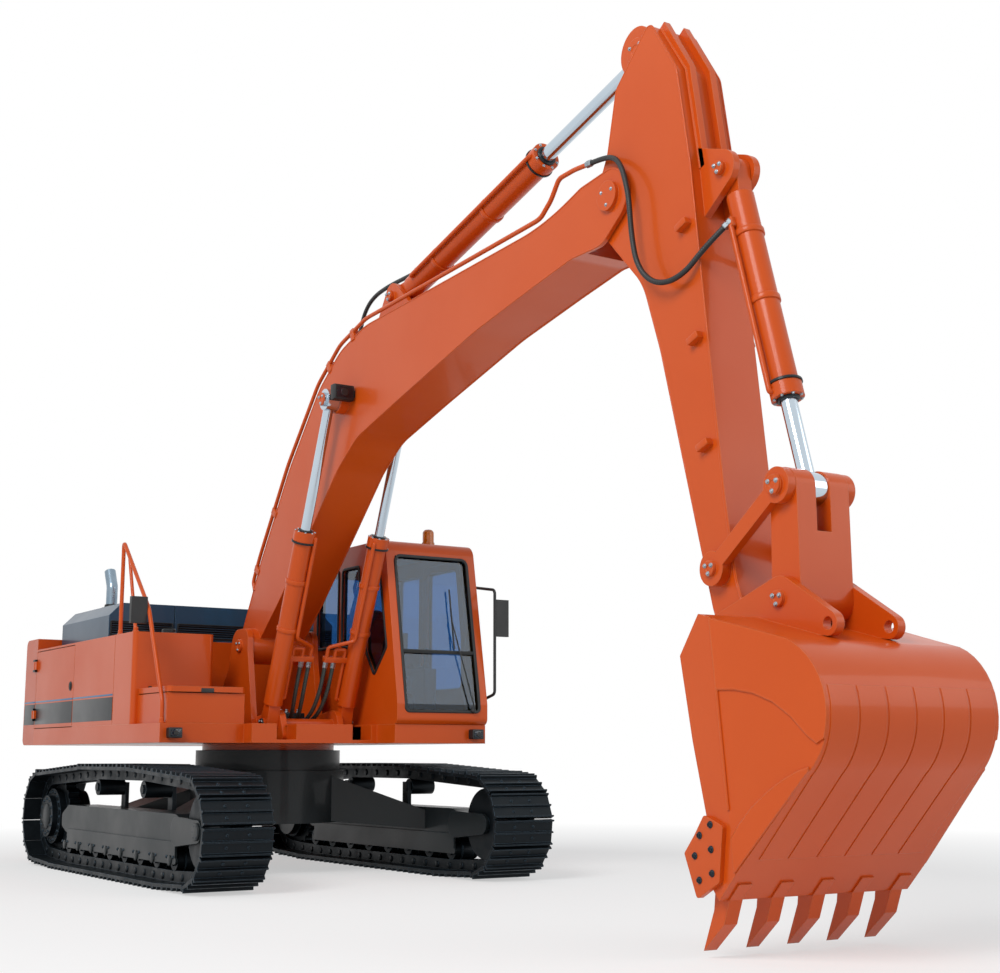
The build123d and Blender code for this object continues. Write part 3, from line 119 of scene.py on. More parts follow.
# Studio: a pale floor that shows white to the camera, one large soft key and a fill
studio = {
    "floorColor": "#fafaf9",
    "floorSize": 160,
    "nearGlow": 0.5,
    "nearRadius": 5.5,
    "farRadius": 13,
    "skyColor": "#f4f6fa",
    "skyStrength": 0.42,
    "keyPlace": (9, -15, 15),
    "keySize": 9,
    "keyPower": 2500,
    "fillPlace": (14, 9, 7),
    "fillSize": 8,
    "fillPower": 340,
}


def newMaterial(name):
    material = bpy.data.materials.new(name)
    material.use_nodes = True
    tree = material.node_tree
    tree.nodes.clear()
    return material, tree, addNode(tree, "ShaderNodeTexCoord").outputs["Object"]


def mapRange(tree, value, start, end, startValue, endValue):
    sockets = {"From_Min": start, "From_Max": end, "To_Min": startValue, "To_Max": endValue}
    return addNode(tree, "ShaderNodeMapRange", Value=value, **sockets).outputs[0]


def seenDirectly(tree):
    # 1 for what the eye meets, also in a mirror or through glass
    path = addNode(tree, "ShaderNodeLightPath")
    seen = path.outputs["Is Camera Ray"]
    for ray in ("Is Glossy Ray", "Is Transmission Ray"):
        either = addNode(tree, "ShaderNodeMath", {"operation": "MAXIMUM"}, i0=seen, i1=path.outputs[ray])
        seen = either.outputs[0]
    return seen


def floorPaint():
    # matt studio floor: white to the eye, darker only in the object's shadow
    material, tree, place = newMaterial("mattFloor")
    away = addNode(tree, "ShaderNodeVectorMath", {"operation": "LENGTH"}, i0=place).outputs["Value"]
    glow = mapRange(tree, away, studio["nearRadius"], studio["farRadius"], studio["nearGlow"], 1)
    share = addNode(tree, "ShaderNodeMath", {"operation": "MULTIPLY"}, i0=seenDirectly(tree), i1=glow)
    matt = addNode(tree, "ShaderNodeBsdfDiffuse", Color=linear(studio["floorColor"]))
    white = addNode(tree, "ShaderNodeEmission", Color=(1, 1, 1, 1), Strength=1)
    mix = addNode(tree, "ShaderNodeMixShader", i0=share.outputs[0], i1=matt.outputs[0], i2=white.outputs[0])
    addNode(tree, "ShaderNodeOutputMaterial", Surface=mix.outputs[0])
    return material


def addStudio():
    world = bpy.data.worlds.new("paleStudio")
    world.use_nodes = True
    tree = world.node_tree
    tree.nodes.clear()
    sky = linear(studio["skyColor"])
    lit = addNode(tree, "ShaderNodeBackground", Color=sky, Strength=studio["skyStrength"])
    white = addNode(tree, "ShaderNodeBackground", Color=(1, 1, 1, 1), Strength=1)
    mix = addNode(tree, "ShaderNodeMixShader", i0=seenDirectly(tree), i1=lit.outputs[0], i2=white.outputs[0])
    addNode(tree, "ShaderNodeOutputWorld", Surface=mix.outputs[0])
    scene.world = world
    half = studio["floorSize"] / 2
    mesh = bpy.data.meshes.new("floor")
    corners = [(-half, -half, 0), (half, -half, 0), (half, half, 0), (-half, half, 0)]
    mesh.from_pydata(corners, [], [(0, 1, 2, 3)])
    mesh.materials.append(floorPaint())
    floor = bpy.data.objects.new("floor", mesh)
    scene.collection.objects.link(floor)
    floor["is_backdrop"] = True
    for name in ("key", "fill"):
        lamp = bpy.data.lights.new(name, "AREA")
        lamp.size = studio[name + "Size"]
        lamp.energy = studio[name + "Power"]
        stand = bpy.data.objects.new(name, lamp)
        stand.location = studio[name + "Place"]
        aim = Vector((0, 0, 2)) - stand.location
        stand.rotation_mode = "QUATERNION"
        stand.rotation_quaternion = aim.to_track_quat("-Z", "Y")
        scene.collection.objects.link(stand)


addStudio()
print("studio lit")


# Finishes: sizes in millimetres. tone is the far shade of the colour's slow drift, edge a paler colour
# painted on corners as a highlight, edgeHighlightShare how much of it, grain and grainDepth the fine relief
# of the surface
finishes = {
    # baked enamel on welded plate: deep gloss with faint orange peel, its edges painted paler as a highlight
    "orangeEnamel": {
        "color": "#d0540f", "tone": "#c54a0c", "toneSize": 900, "edge": "#e58a52", "edgeHighlightShare": 0.5,
        "bevel": 7, "rough": (0.3, 0.42), "grain": 9, "grainDepth": 0.25, "coat": 0.2, "gloss": 0.22,
    },
    # the same enamel on the rough skin of a sand casting
    "orangeCasting": {
        "color": "#cb500f", "tone": "#bd460c", "toneSize": 700, "edge": "#e08550", "edgeHighlightShare": 0.5,
        "bevel": 14, "rough": (0.3, 0.42), "grain": 22, "grainDepth": 0.9, "coat": 0.3, "gloss": 0.22,
    },
    # slate blue enamel on pressed sheet: cool and a little softer in gloss
    "slateEnamel": {
        "color": "#2d4d66", "tone": "#26435a", "toneSize": 800, "edge": "#5d86a1", "edgeHighlightShare": 0.6,
        "bevel": 8, "rough": (0.3, 0.4), "grain": 8, "grainDepth": 0.2, "coat": 0.3, "gloss": 0.22,
    },
    # manganese steel shoes and links: rolled scale, bluish, the edges painted paler and bluer as a highlight
    "trackSteel": {
        "color": "#14181b", "tone": "#1e252a", "toneSize": 160, "edge": "#5c7384", "edgeHighlightShare": 0.75,
        "bevel": 4, "rough": (0.32, 0.55), "grain": 14, "grainDepth": 0.8, "metal": 0.55, "gloss": 0.22,
    },
    # black chassis enamel on welded plate: half gloss, with a grey bloom of dust
    "blackEnamel": {
        "color": "#121516", "tone": "#20272a", "toneSize": 420, "edge": "#3c4a50", "edgeHighlightShare": 0.5,
        "bevel": 8, "rough": (0.34, 0.5), "grain": 10, "grainDepth": 0.4, "coat": 0.15, "gloss": 0.22,
    },
    # cast iron of the engine, dark and dry
    "engineIron": {
        "color": "#22262a", "tone": "#2e3337", "toneSize": 200, "edge": "#4a5157", "edgeHighlightShare": 0.4,
        "bevel": 10, "rough": (0.5, 0.7), "grain": 16, "grainDepth": 0.9, "metal": 0.3,
    },
    # aluminised exhaust tube: pale steel with a bluish heat tint
    "exhaustSteel": {
        "color": "#9aa9b5", "tone": "#6f8494", "toneSize": 120, "edge": "#d5dde3", "edgeHighlightShare": 0.4,
        "bevel": 3, "rough": (0.2, 0.36), "grain": 6, "grainDepth": 0.1, "metal": 1,
    },
    # hard chrome ground and polished: a mirror with only a breath of haze
    "hardChrome": {
        "color": "#c9d4dd", "tone": "#b7c6d2", "toneSize": 500, "edge": "#e8eef2", "edgeHighlightShare": 0.2,
        "bevel": 3, "rough": (0.07, 0.12), "grain": 5, "grainDepth": 0.02, "metal": 1,
    },
    # moulded black polypropylene: fine leather grain, soft sheen
    "mouldedPolymer": {
        "color": "#111314", "tone": "#191c1e", "toneSize": 150, "edge": "#2f3437", "edgeHighlightShare": 0.4,
        "bevel": 5, "rough": (0.42, 0.55), "grain": 3, "grainDepth": 0.25,
    },
    # extruded rubber of the window seals and wipers: black, soft, with no sparkle
    "sealRubber": {
        "color": "#0b0d0e", "tone": "#131617", "toneSize": 90, "edge": "#24292b", "edgeHighlightShare": 0.3,
        "bevel": 2, "rough": (0.5, 0.62), "grain": 4, "grainDepth": 0.1,
    },
    # pressure hose in a wrapped wire cover: grey-green, a dull metal sheen on the ridges
    "wireWrappedHose": {
        "color": "#4a5552", "tone": "#39423f", "toneSize": 70, "edge": "#8a9894", "edgeHighlightShare": 0.4,
        "bevel": 2, "rough": (0.38, 0.5), "grain": 5, "grainDepth": 0.2, "metal": 0.5,
    },
    # pressure hose in a plain synthetic rubber cover: black, faintly greasy
    "blackHose": {
        "color": "#101213", "tone": "#181b1c", "toneSize": 120, "edge": "#2c3133", "edgeHighlightShare": 0.3,
        "bevel": 2, "rough": (0.4, 0.52), "grain": 5, "grainDepth": 0.15,
    },
    # zinc plated screws and fittings: pale bluish grey, half bright
    "zincPlate": {
        "color": "#a9b3ba", "tone": "#8d989f", "toneSize": 40, "edge": "#d8dfe3", "edgeHighlightShare": 0.4,
        "bevel": 1.5, "rough": (0.28, 0.42), "grain": 4, "grainDepth": 0.1, "metal": 1,
    },
    # silvered mirror glass: a clean reflection, faintly warm
    "silveredGlass": {
        "color": "#dfe6ea", "tone": "#d2dbe0", "toneSize": 300, "edge": "#eef2f4", "edgeHighlightShare": 0.1,
        "bevel": 1.5, "rough": (0.02, 0.04), "grain": 90, "grainDepth": 0.02, "metal": 1,
    },
    # cut vinyl film: flat black with a thin sheen, laid on the enamel
    "blackFilm": {
        "color": "#0d1216", "tone": "#121a20", "toneSize": 400, "edge": "#1c262d", "edgeHighlightShare": 0.2,
        "bevel": 1, "rough": (0.3, 0.4), "grain": 12, "grainDepth": 0.05,
    },
    # cut vinyl film, mid blue
    "blueFilm": {
        "color": "#2a6f9e", "tone": "#24648f", "toneSize": 400, "edge": "#4d8db5", "edgeHighlightShare": 0.2,
        "bevel": 1, "rough": (0.3, 0.4), "grain": 12, "grainDepth": 0.05,
    },
    # grit tape on steps and lids: black, coarse, no gloss
    "gritTape": {
        "color": "#15181a", "tone": "#22272a", "toneSize": 12, "edge": "#2c3235", "edgeHighlightShare": 0.2,
        "bevel": 1, "rough": (0.75, 0.9), "grain": 3, "grainDepth": 1.2,
    },
    # pressed lining of the cab: dark grey polymer felt, matt
    "cabLining": {
        "color": "#2b3138", "tone": "#343b43", "toneSize": 60, "edge": "#454d56", "edgeHighlightShare": 0.2,
        "bevel": 4, "rough": (0.7, 0.85), "grain": 5, "grainDepth": 0.5,
    },
}


def noise(tree, place, size, detail):
    return addNode(tree, "ShaderNodeTexNoise", Vector=place, Scale=1000 / size, Detail=detail).outputs["Fac"]


def bands(tree, place, size, direction):
    # a wave texture that repeats every size millimetres
    scale = 1000 / size / 20
    wave = addNode(tree, "ShaderNodeTexWave", {"bands_direction": direction}, Vector=place, Scale=scale)
    return wave.outputs["Fac"]


def mixColor(tree, share, first, second):
    return addNode(tree, "ShaderNodeMix", {"data_type": "RGBA"}, Factor=share, i6=first, i7=second).outputs[2]


def relief(tree, height, depth, **normal):
    bump = addNode(tree, "ShaderNodeBump", Strength=1, Distance=depth / 1000, Height=height, **normal)
    return bump.outputs[0]


def addShader(material, tree, **inputs):
    shader = addNode(tree, "ShaderNodeBsdfPrincipled", **inputs)
    addNode(tree, "ShaderNodeOutputMaterial", Surface=shader.outputs[0])
    return material


def makeFinish(name):
    spec = finishes[name]
    material, tree, place = newMaterial(name)
    drift = noise(tree, place, spec["toneSize"], 4)
    tint = mixColor(tree, drift, linear(spec["color"]), linear(spec["tone"]))
    # a corner shows where the rounded normal leaves the flat one, and there the paler edge colour is mixed in
    # as a painted highlight
    soft = addNode(tree, "ShaderNodeBevel", {"samples": 4}, Radius=spec["bevel"] / 1000).outputs[0]
    flat = addNode(tree, "ShaderNodeNewGeometry").outputs["Normal"]
    turn = addNode(tree, "ShaderNodeVectorMath", {"operation": "DOT_PRODUCT"}, i0=soft, i1=flat)
    corner = mapRange(tree, turn.outputs["Value"], 0.995, 0.8, 0, spec["edgeHighlightShare"])
    return addShader(
        material,
        tree,
        Base_Color=mixColor(tree, corner, tint, linear(spec["edge"])),
        Roughness=mapRange(tree, drift, 0.3, 0.7, *spec["rough"]),
        Metallic=spec.get("metal", 0),
        Normal=relief(tree, noise(tree, place, spec["grain"], 2), spec["grainDepth"], Normal=soft),
        Coat_Weight=spec.get("coat", 0),
        Coat_Roughness=0.08,
        Specular_IOR_Level=spec.get("gloss", 0.5),
    )


materials = {name: makeFinish(name) for name in finishes}


# Toughened window glass, float made and tinted blue: clear, with sharp reflections that bow a little
glassSpec = {"color": "#5e8db6", "rough": 0.02, "ior": 1.5, "bowSize": 600, "bowDepth": 0.4}


def makeGlass():
    material, tree, place = newMaterial("tintedGlass")
    shader = addNode(
        tree,
        "ShaderNodeBsdfPrincipled",
        Base_Color=linear(glassSpec["color"]),
        Roughness=glassSpec["rough"],
        IOR=glassSpec["ior"],
        Transmission_Weight=1,
        Normal=relief(tree, noise(tree, place, glassSpec["bowSize"], 1), glassSpec["bowDepth"]),
    )
    # light passes straight in, so the cab isn't black inside
    clear = addNode(tree, "ShaderNodeBsdfTransparent", Color=linear(glassSpec["color"]))
    path = addNode(tree, "ShaderNodeLightPath").outputs["Is Shadow Ray"]
    mix = addNode(tree, "ShaderNodeMixShader", i0=path, i1=shader.outputs[0], i2=clear.outputs[0])
    addNode(tree, "ShaderNodeOutputMaterial", Surface=mix.outputs[0])
    return material


materials["tintedGlass"] = makeGlass()


# Amber polycarbonate: moulded, lit through, ribbed inside
amberSpec = {"color": "#d9780f", "rough": 0.15, "ior": 1.58, "clear": 0.35, "rib": 9, "ribDepth": 0.8}


def makeAmber():
    material, tree, place = newMaterial("amberLens")
    return addShader(
        material,
        tree,
        Base_Color=linear(amberSpec["color"]),
        Roughness=amberSpec["rough"],
        IOR=amberSpec["ior"],
        Transmission_Weight=amberSpec["clear"],
        Normal=relief(tree, bands(tree, place, amberSpec["rib"], "Z"), amberSpec["ribDepth"]),
    )


materials["amberLens"] = makeAmber()


# Woven polyester seat cover: dark, with a twill that catches light as a soft sheen
fabricSpec = {
    "color": "#26292d",
    "thread": "#3a3f45",
    "threadSize": 4,
    "threadDepth": 0.6,
    "rough": 0.85,
    "sheen": 0.3,
}


def makeFabric():
    material, tree, place = newMaterial("wovenPolyester")
    warp = bands(tree, place, fabricSpec["threadSize"], "DIAGONAL")
    weft = bands(tree, place, fabricSpec["threadSize"], "Y")
    weave = addNode(tree, "ShaderNodeMath", {"operation": "MULTIPLY"}, i0=warp, i1=weft).outputs[0]
    return addShader(
        material,
        tree,
        Base_Color=mixColor(tree, weave, linear(fabricSpec["color"]), linear(fabricSpec["thread"])),
        Roughness=fabricSpec["rough"],
        Sheen_Weight=fabricSpec["sheen"],
        Normal=relief(tree, weave, fabricSpec["threadDepth"]),
    )


materials["wovenPolyester"] = makeFabric()

# Which finish each of the record's material slots has
slotFinish = {
    "track_iron": "trackSteel",
    "black_paint": "blackEnamel",
    "orange_paint": "orangeEnamel",
    "counterweight_paint": "orangeCasting",
    "engine_iron": "engineIron",
    "slate_paint": "slateEnamel",
    "exhaust_steel": "exhaustSteel",
    "window_glass": "tintedGlass",
    "seat_fabric": "wovenPolyester",
    "black_plastic": "mouldedPolymer",
    "amber_plastic": "amberLens",
    "rod_chrome": "hardChrome",
}
for part in frame["record"]["subparts"]:
    mesh = nodes[part["node"]].data
    mesh.materials.clear()
    mesh.materials.append(materials[slotFinish[part["material_slot"]]])
print("finishes applied to", len(nodes), "nodes")


# Places below are in the machine's own millimetres, X from the swing axis, so the numbers read like a drawing
swingX = 2390
pins = {
    "boomFoot": (107, 2130),
    "boomTip": (5935, 4858),
    "boomRod": (1966, 4187),
    "boomTube": (837, 1382),
    "armTube": (2600, 5020),
    "armRod": (6104, 5882),
    "bucketTube": (6955, 4747),
    "rodLink": (7532, 2616),
    "sideLink": (6947, 2192),
    "bucket": (7076, 1799),
    "hLink": (7530, 1962),
}
leans = {
    "boom": 25.08,
    "arm": -69.55,
    "bucket": -83.58,
    "boomTube": 68.07,
    "armTube": 13.82,
    "bucketTube": -74.84,
}
left = Vector((0, 1, 0))
up = Vector((0, 0, 1))
front = Vector((1, 0, 0))


def spot(x, y, z):
    return Vector(((x - swingX) / 1000, y / 1000, z / 1000))


def leaning(lean, u, v):
    a = math.radians(leans[lean])
    return Vector((u * math.cos(a) - v * math.sin(a), 0, u * math.sin(a) + v * math.cos(a)))


def onLink(pin, lean, u, v, y=0):
    return spot(pins[pin][0], y, pins[pin][1]) + leaning(lean, u, v) / 1000


def finishPiece(name, bm, finish, body, softAngle=35):
    bmesh.ops.recalc_face_normals(bm, faces=bm.faces)
    mesh = bpy.data.meshes.new(name)
    bm.to_mesh(mesh)
    bm.free()
    mesh.shade_smooth()
    mesh.set_sharp_from_angle(angle=math.radians(softAngle))
    mesh.materials.append(materials[finish])
    piece = bpy.data.objects.new(name, mesh)
    scene.collection.objects.link(piece)
    if body:
        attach(piece, body)
    return piece


def skin(bm, rings, closed):
    # faces between neighbouring rings of points; an open run gets end caps
    rows = [[bm.verts.new(place) for place in ring] for ring in rings]
    count = len(rows[0])
    for low, high in zip(rows, rows[1:] + rows[:1] if closed else rows[1:]):
        for i in range(count):
            bm.faces.new((low[i], low[(i + 1) % count], high[(i + 1) % count], high[i]))
    if not closed:
        bm.faces.new(rows[0])
        bm.faces.new(rows[-1])


def turned(bm, base, axis, profile, sides=20):
    # a lathe: profile is pairs of radius and height along the axis
    axis = Vector(axis).normalized()
    across = axis.orthogonal().normalized()
    other = axis.cross(across)
    spokes = [2 * math.pi * i / sides for i in range(sides)]
    rings = []
    for radius, height in profile:
        middle = base + axis * height / 1000
        rings.append([middle + (across * math.cos(a) + other * math.sin(a)) * radius / 1000 for a in spokes])
    skin(bm, rings, False)


def bolt(bm, base, axis, size):
    # washer and six sided head, size is half the head's width
    turned(bm, base, axis, [(1.35 * size, -1), (1.35 * size, 0.2 * size), (1.2 * size, 0.3 * size)], 14)
    turned(bm, base, axis, [(size, 0), (size, 0.85 * size), (0.8 * size, size)], 6)


def sweep(bm, places, section, closed=False, normal=None):
    # section is pairs of millimetres across the line: along the normal and beside it
    count = len(places)
    rings = []
    frameUp = normal
    for i, place in enumerate(places):
        before = places[i - 1] if closed or i else place
        after = places[(i + 1) % count] if closed or i < count - 1 else place
        along = (after - before).normalized()
        if normal is None:
            frameUp = frameUp or along.orthogonal()
            frameUp = (frameUp - along * frameUp.dot(along)).normalized()
        beside = along.cross(frameUp).normalized()
        rings.append([place + frameUp * a / 1000 + beside * b / 1000 for a, b in section])
    skin(bm, rings, closed)


def circle(radius, sides=10):
    spokes = [2 * math.pi * i / sides for i in range(sides)]
    return [(radius * math.cos(a), radius * math.sin(a)) for a in spokes]


def slab(bm, middle, size, edge=4, lean=0):
    # a plate with softened edges, size in millimetres, lean in degrees about Y
    made = bmesh.ops.create_cube(bm, size=1)["verts"]
    place = Matrix.Translation(middle) @ Matrix.Rotation(-math.radians(lean), 4, "Y")
    bmesh.ops.transform(bm, matrix=place @ Matrix.Diagonal((*[s / 1000 for s in size], 1)), verts=made)
    edges = list({e for v in made for e in v.link_edges})
    bmesh.ops.bevel(bm, geom=edges, offset=edge / 1000, segments=2, affect="EDGES", profile=0.6)


def roundedLoop(corners, y, steps=5):
    # corners are x, z and radius in order; gives the loop's places in the plane of that y
    places = []
    count = len(corners)
    for i, (x, z, radius) in enumerate(corners):
        here = Vector((x, z))
        before = (Vector(corners[i - 1][:2]) - here).normalized()
        after = (Vector(corners[(i + 1) % count][:2]) - here).normalized()
        half = before.angle(after) / 2
        reach = radius / math.tan(half)
        middle = here + (before + after).normalized() * radius / math.sin(half)
        start = here + before * reach - middle
        end = here + after * reach - middle
        for k in range(steps + 1):
            share = k / steps
            arm = (start * (1 - share) + end * share).normalized() * radius
            places.append(spot(middle.x + arm.x, y, middle.y + arm.y))
    return places


# Hoses: the route's points in metres, on the machine's left, from the port where the hose leaves the machine
hoses = {
    "wrapPitch": 16,
    "wrapDepth": 1.8,
    "sides": 16,
    "fitting": [(22, -4), (26, 0), (26, 20), (22, 22), (22, 28), (26, 30), (26, 55), (21, 60)],
    "runs": {
        "deckHoseLeftInner": {
            "finish": "wireWrappedHose",
            "diameter": 0.040,
            "bodies": ("upper", "boom_tubes"),
            "farEnd": "fitting",
            "route": [
                (-1.8689, 0.034, 1.396), (-1.7589, 0.034, 1.396), (-1.6461, 0.049, 1.427),
                (-1.5554, 0.0665, 1.51), (-1.4804, 0.079, 1.63), (-1.4194, 0.084, 1.754),
                (-1.3634, 0.084, 1.8932),
            ],
        },
        "deckHoseLeftOuter": {
            "finish": "wireWrappedHose",
            "diameter": 0.040,
            "bodies": ("upper", "boom_tubes"),
            "farEnd": "fitting",
            "route": [
                (-1.8689, 0.098, 1.396), (-1.7589, 0.098, 1.396), (-1.6461, 0.1178, 1.427),
                (-1.5554, 0.1409, 1.51), (-1.4804, 0.1574, 1.63), (-1.4194, 0.164, 1.754),
                (-1.3634, 0.164, 1.8932),
            ],
        },
        "armHose": {
            "finish": "blackHose",
            "diameter": 0.038,
            "bodies": ("boom", "arm_tube"),
            "farEnd": "object",
            "route": [
                (-0.6207, 0, 4.617), (-0.6207, 0, 4.75), (-0.59, 0, 4.905), (-0.5223, 0, 5.04),
                (-0.4223, 0, 5.128), (-0.2803, 0, 5.177), (-0.1103, 0, 5.193), (0.0597, 0, 5.197),
                (0.2446, 0, 5.1936), (0.4062, 0, 5.1936),
            ],
        },
        "bucketHoseLeft": {
            "finish": "blackHose",
            "diameter": 0.038,
            "bodies": ("arm", "boom"),
            "farEnd": "fitting",
            "route": [
                (4.6451, 0.112, 4.375), (4.57, 0.165, 4.295), (4.4661, 0.215, 4.195),
                (4.3703, 0.245, 4.105), (4.2403, 0.27, 4.0627), (4.1053, 0.285, 4.0847),
                (3.9953, 0.295, 4.1647), (3.9153, 0.295, 4.2847), (3.8803, 0.295, 4.4247),
                (3.8603, 0.295, 4.5697), (3.8483, 0.295, 4.7297), (3.8103, 0.295, 4.8797),
                (3.7383, 0.275, 5.0097), (3.6253, 0.245, 5.1097), (3.475, 0.224, 5.1596),
                (3.3355, 0.224, 5.171),
            ],
        },
    },
}


def readRoute(name, route, fineness=48):
    curve = bpy.data.curves.new(name + "Line", "CURVE")
    curve.dimensions = "3D"
    curve.resolution_u = fineness
    spline = curve.splines.new("NURBS")
    spline.points.add(len(route) - 1)
    for point, place in zip(spline.points, route):
        point.co = (*place, 1)
    spline.order_u = 3
    spline.use_endpoint_u = True
    holder = bpy.data.objects.new(name + "Line", curve)
    scene.collection.objects.link(holder)
    line = bpy.data.meshes.new_from_object(holder)
    places = [vertex.co.copy() for vertex in line.vertices]
    bpy.data.objects.remove(holder)
    return places


def addHose(name, spec, hand):
    places = readRoute(name, [(x, hand * y, z) for x, y, z in spec["route"]])
    bm = bmesh.new()
    radius = spec["diameter"] / 2
    spokes = [2 * math.pi * i / hoses["sides"] for i in range(hoses["sides"])]
    frameUp = (places[1] - places[0]).orthogonal()
    rings = []
    run = 0
    for i, place in enumerate(places):
        along = (places[min(i + 1, len(places) - 1)] - places[max(i - 1, 0)]).normalized()
        frameUp = (frameUp - along * frameUp.dot(along)).normalized()
        beside = along.cross(frameUp)
        run += (place - places[i - 1]).length if i else 0
        ring = []
        for a in spokes:
            # the wrap is one wire wound round the hose, so its ridge climbs with the angle
            ridge = 0.5 - 0.5 * math.cos(2 * math.pi * run * 1000 / hoses["wrapPitch"] - a)
            reach = radius - hoses["wrapDepth"] / 1000 * ridge
            ring.append(place + (frameUp * math.cos(a) + beside * math.sin(a)) * reach)
        rings.append(ring)
    skin(bm, rings, False)
    piece = finishPiece(name, bm, spec["finish"], None, 80)
    ends = []
    if spec["farEnd"] == "fitting":
        nut = bmesh.new()
        turned(nut, places[-1], places[-1] - places[-2], hoses["fitting"], 6)
        ends = [finishPiece(name + "Fitting", nut, "zincPlate", spec["bodies"][1])]
    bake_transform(piece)
    return run


for name, spec in hoses["runs"].items():
    print(name, "is", round(addHose(name, spec, 1), 3), "m long")
    if "Left" in name:
        addHose(name.replace("Left", "Right"), spec, -1)
print("hoses laid")


def band(bm, place, axis, radius, width, sides):
    # flat steel band round a tube: its inner edge ends in the tube's wall, so the bore stays free
    side = axis.orthogonal().normalized()
    rise = axis.normalized().cross(side)
    section = [(-14, 0), (-2, 0), (0, 4), (0, width - 4), (-2, width), (-14, width)]
    rings = []
    for k in range(sides):
        a = 2 * math.pi * k / sides
        way = side * math.cos(a) + rise * math.sin(a)
        rings.append([place + (axis * along + way * (radius + out)) / 1000 for out, along in section])
    skin(bm, rings, True)


def bentPipe(bm, corners, radius, bend=70):
    # rigid steel pipe: a point each side of a corner keeps the bend tight
    route = [corners[0]]
    for before, here, after in zip(corners, corners[1:], corners[2:]):
        back = before - here
        ahead = after - here
        route.append(here + back.normalized() * min(bend / 1000, back.length * 0.45))
        route.append(here)
        route.append(here + ahead.normalized() * min(bend / 1000, ahead.length * 0.45))
    sweep(bm, readRoute("pipe", route + [corners[-1]], 6), circle(radius, 12))


# Steel pipes, fittings and clamps that the hoses join. Places on a cylinder are along its tube, across the
# machine and off the tube's middle, and those on the boom along and over its line of pins
lines = {
    "pipeRadius": 18,
    "tightBend": 40,
    "wideBend": 150,
    "manifold": (625, 180, 15),
    "manifoldSize": (50, 250, 60),
    "farPipe": [(645, 84, 15), (740, 84, 15), (840, 294, -78), (1775, 294, -78), (1775, 316, -56)],
    "nearPipe": [(645, 164, 15), (720, 164, 15), (720, 262, 15), (240, 262, 15), (240, 294, 15)],
    "valvePlates": [((406, 0, 1430), (120, 316, 120), 8), ((400, 0, 1378), (180, 360, 16), 4)],
    "valvePorts": [(400, y, 1490) for y in (-120, -60, 0, 60, 120)],
    "valvePort": [(22, 0), (22, 14), (16, 16), (16, 34), (12, 36)],
    "hoseFeet": [(525, y, 1396) for y in (-98, -34, 34, 98)],
    "boomPipeY": 224,
    "boomPipe": [
        (210, 500), (212, 599), (446, 750), (1324, 1223), (2168, 1558), (2678, 1625), (3180, 1532),
        (5700, 450), (5870, 480), (6020, 555), (6190, 480), (6330, 400),
    ],
    "boomClamps": (2, 3, 5, 6),
    "clampY": 209,
    "clampDrop": 30,
    "clampSize": (64, 60, 112),
    "armHoseFoot": (2549, 1510),
    "armHoseSocket": [(36, 0), (36, 20), (27, 22), (27, 44), (21, 46)],
    "armPort": (300, 0, 90),
    "armSocket": [(36, 0), (36, 14), (28, 16), (28, 42), (20, 46)],
    "armElbow": (300, 0, 105),
    "armNut": [(24, 0), (24, 30), (27, 32), (27, 68), (21, 74)],
    "armPipe": [(370, -90, 0), (370, -124, 0), (2255, -124, 0), (2255, -90, 0)],
    "bucketPorts": {-1: 1575, 1: 230},
    "bucketBlock": (390, 98, -24),
    "bucketBlockSize": (64, 56, 56),
    "bucketNut": (380, 112, -20),
    "bands": {
        "boomTube": {"radius": 96, "sides": 32, "along": (880, 1330), "across": (-372, 372)},
        "armTube": {"radius": 110, "sides": 36, "along": (680, 1480), "across": (0,)},
        "bucketTube": {"radius": 98, "sides": 32, "along": (450, 930), "across": (0,)},
    },
    "bandWidth": 40,
}


def onTube(tube, u, y, w, hand=1):
    return onLink(tube, tube, u, w, hand * y)


def addTubePipe(bm, tube, places, hand, bend):
    bentPipe(bm, [onTube(tube, *place, hand) for place in places], lines["pipeRadius"], bend)


def addBands(bm, tube):
    spec = lines["bands"][tube]
    axis = leaning(tube, 1, 0)
    for y in spec["across"]:
        for u in spec["along"]:
            band(bm, onTube(tube, u, y, 0), axis, spec["radius"], lines["bandWidth"], spec["sides"])


def addDeckLines():
    bm = bmesh.new()
    for hand in (-1, 1):
        middle = onTube("boomTube", *lines["manifold"], hand)
        slab(bm, middle, lines["manifoldSize"], 6, leans["boomTube"])
        addTubePipe(bm, "boomTube", lines["farPipe"], hand, 70)
        addTubePipe(bm, "boomTube", lines["nearPipe"], hand, lines["tightBend"])
    addBands(bm, "boomTube")
    finishPiece("boomCylinderPipes", bm, "orangeEnamel", "boom_tubes")
    bm = bmesh.new()
    for middle, size, edge in lines["valvePlates"]:
        slab(bm, spot(*middle), size, edge)
    finishPiece("valveBlock", bm, "blackEnamel", "upper")
    bm = bmesh.new()
    for place in lines["valvePorts"]:
        turned(bm, spot(*place), up, lines["valvePort"], 6)
    for place in lines["hoseFeet"]:
        turned(bm, spot(*place), -front, hoses["fitting"], 6)
    finishPiece("valveFittings", bm, "zincPlate", "upper")


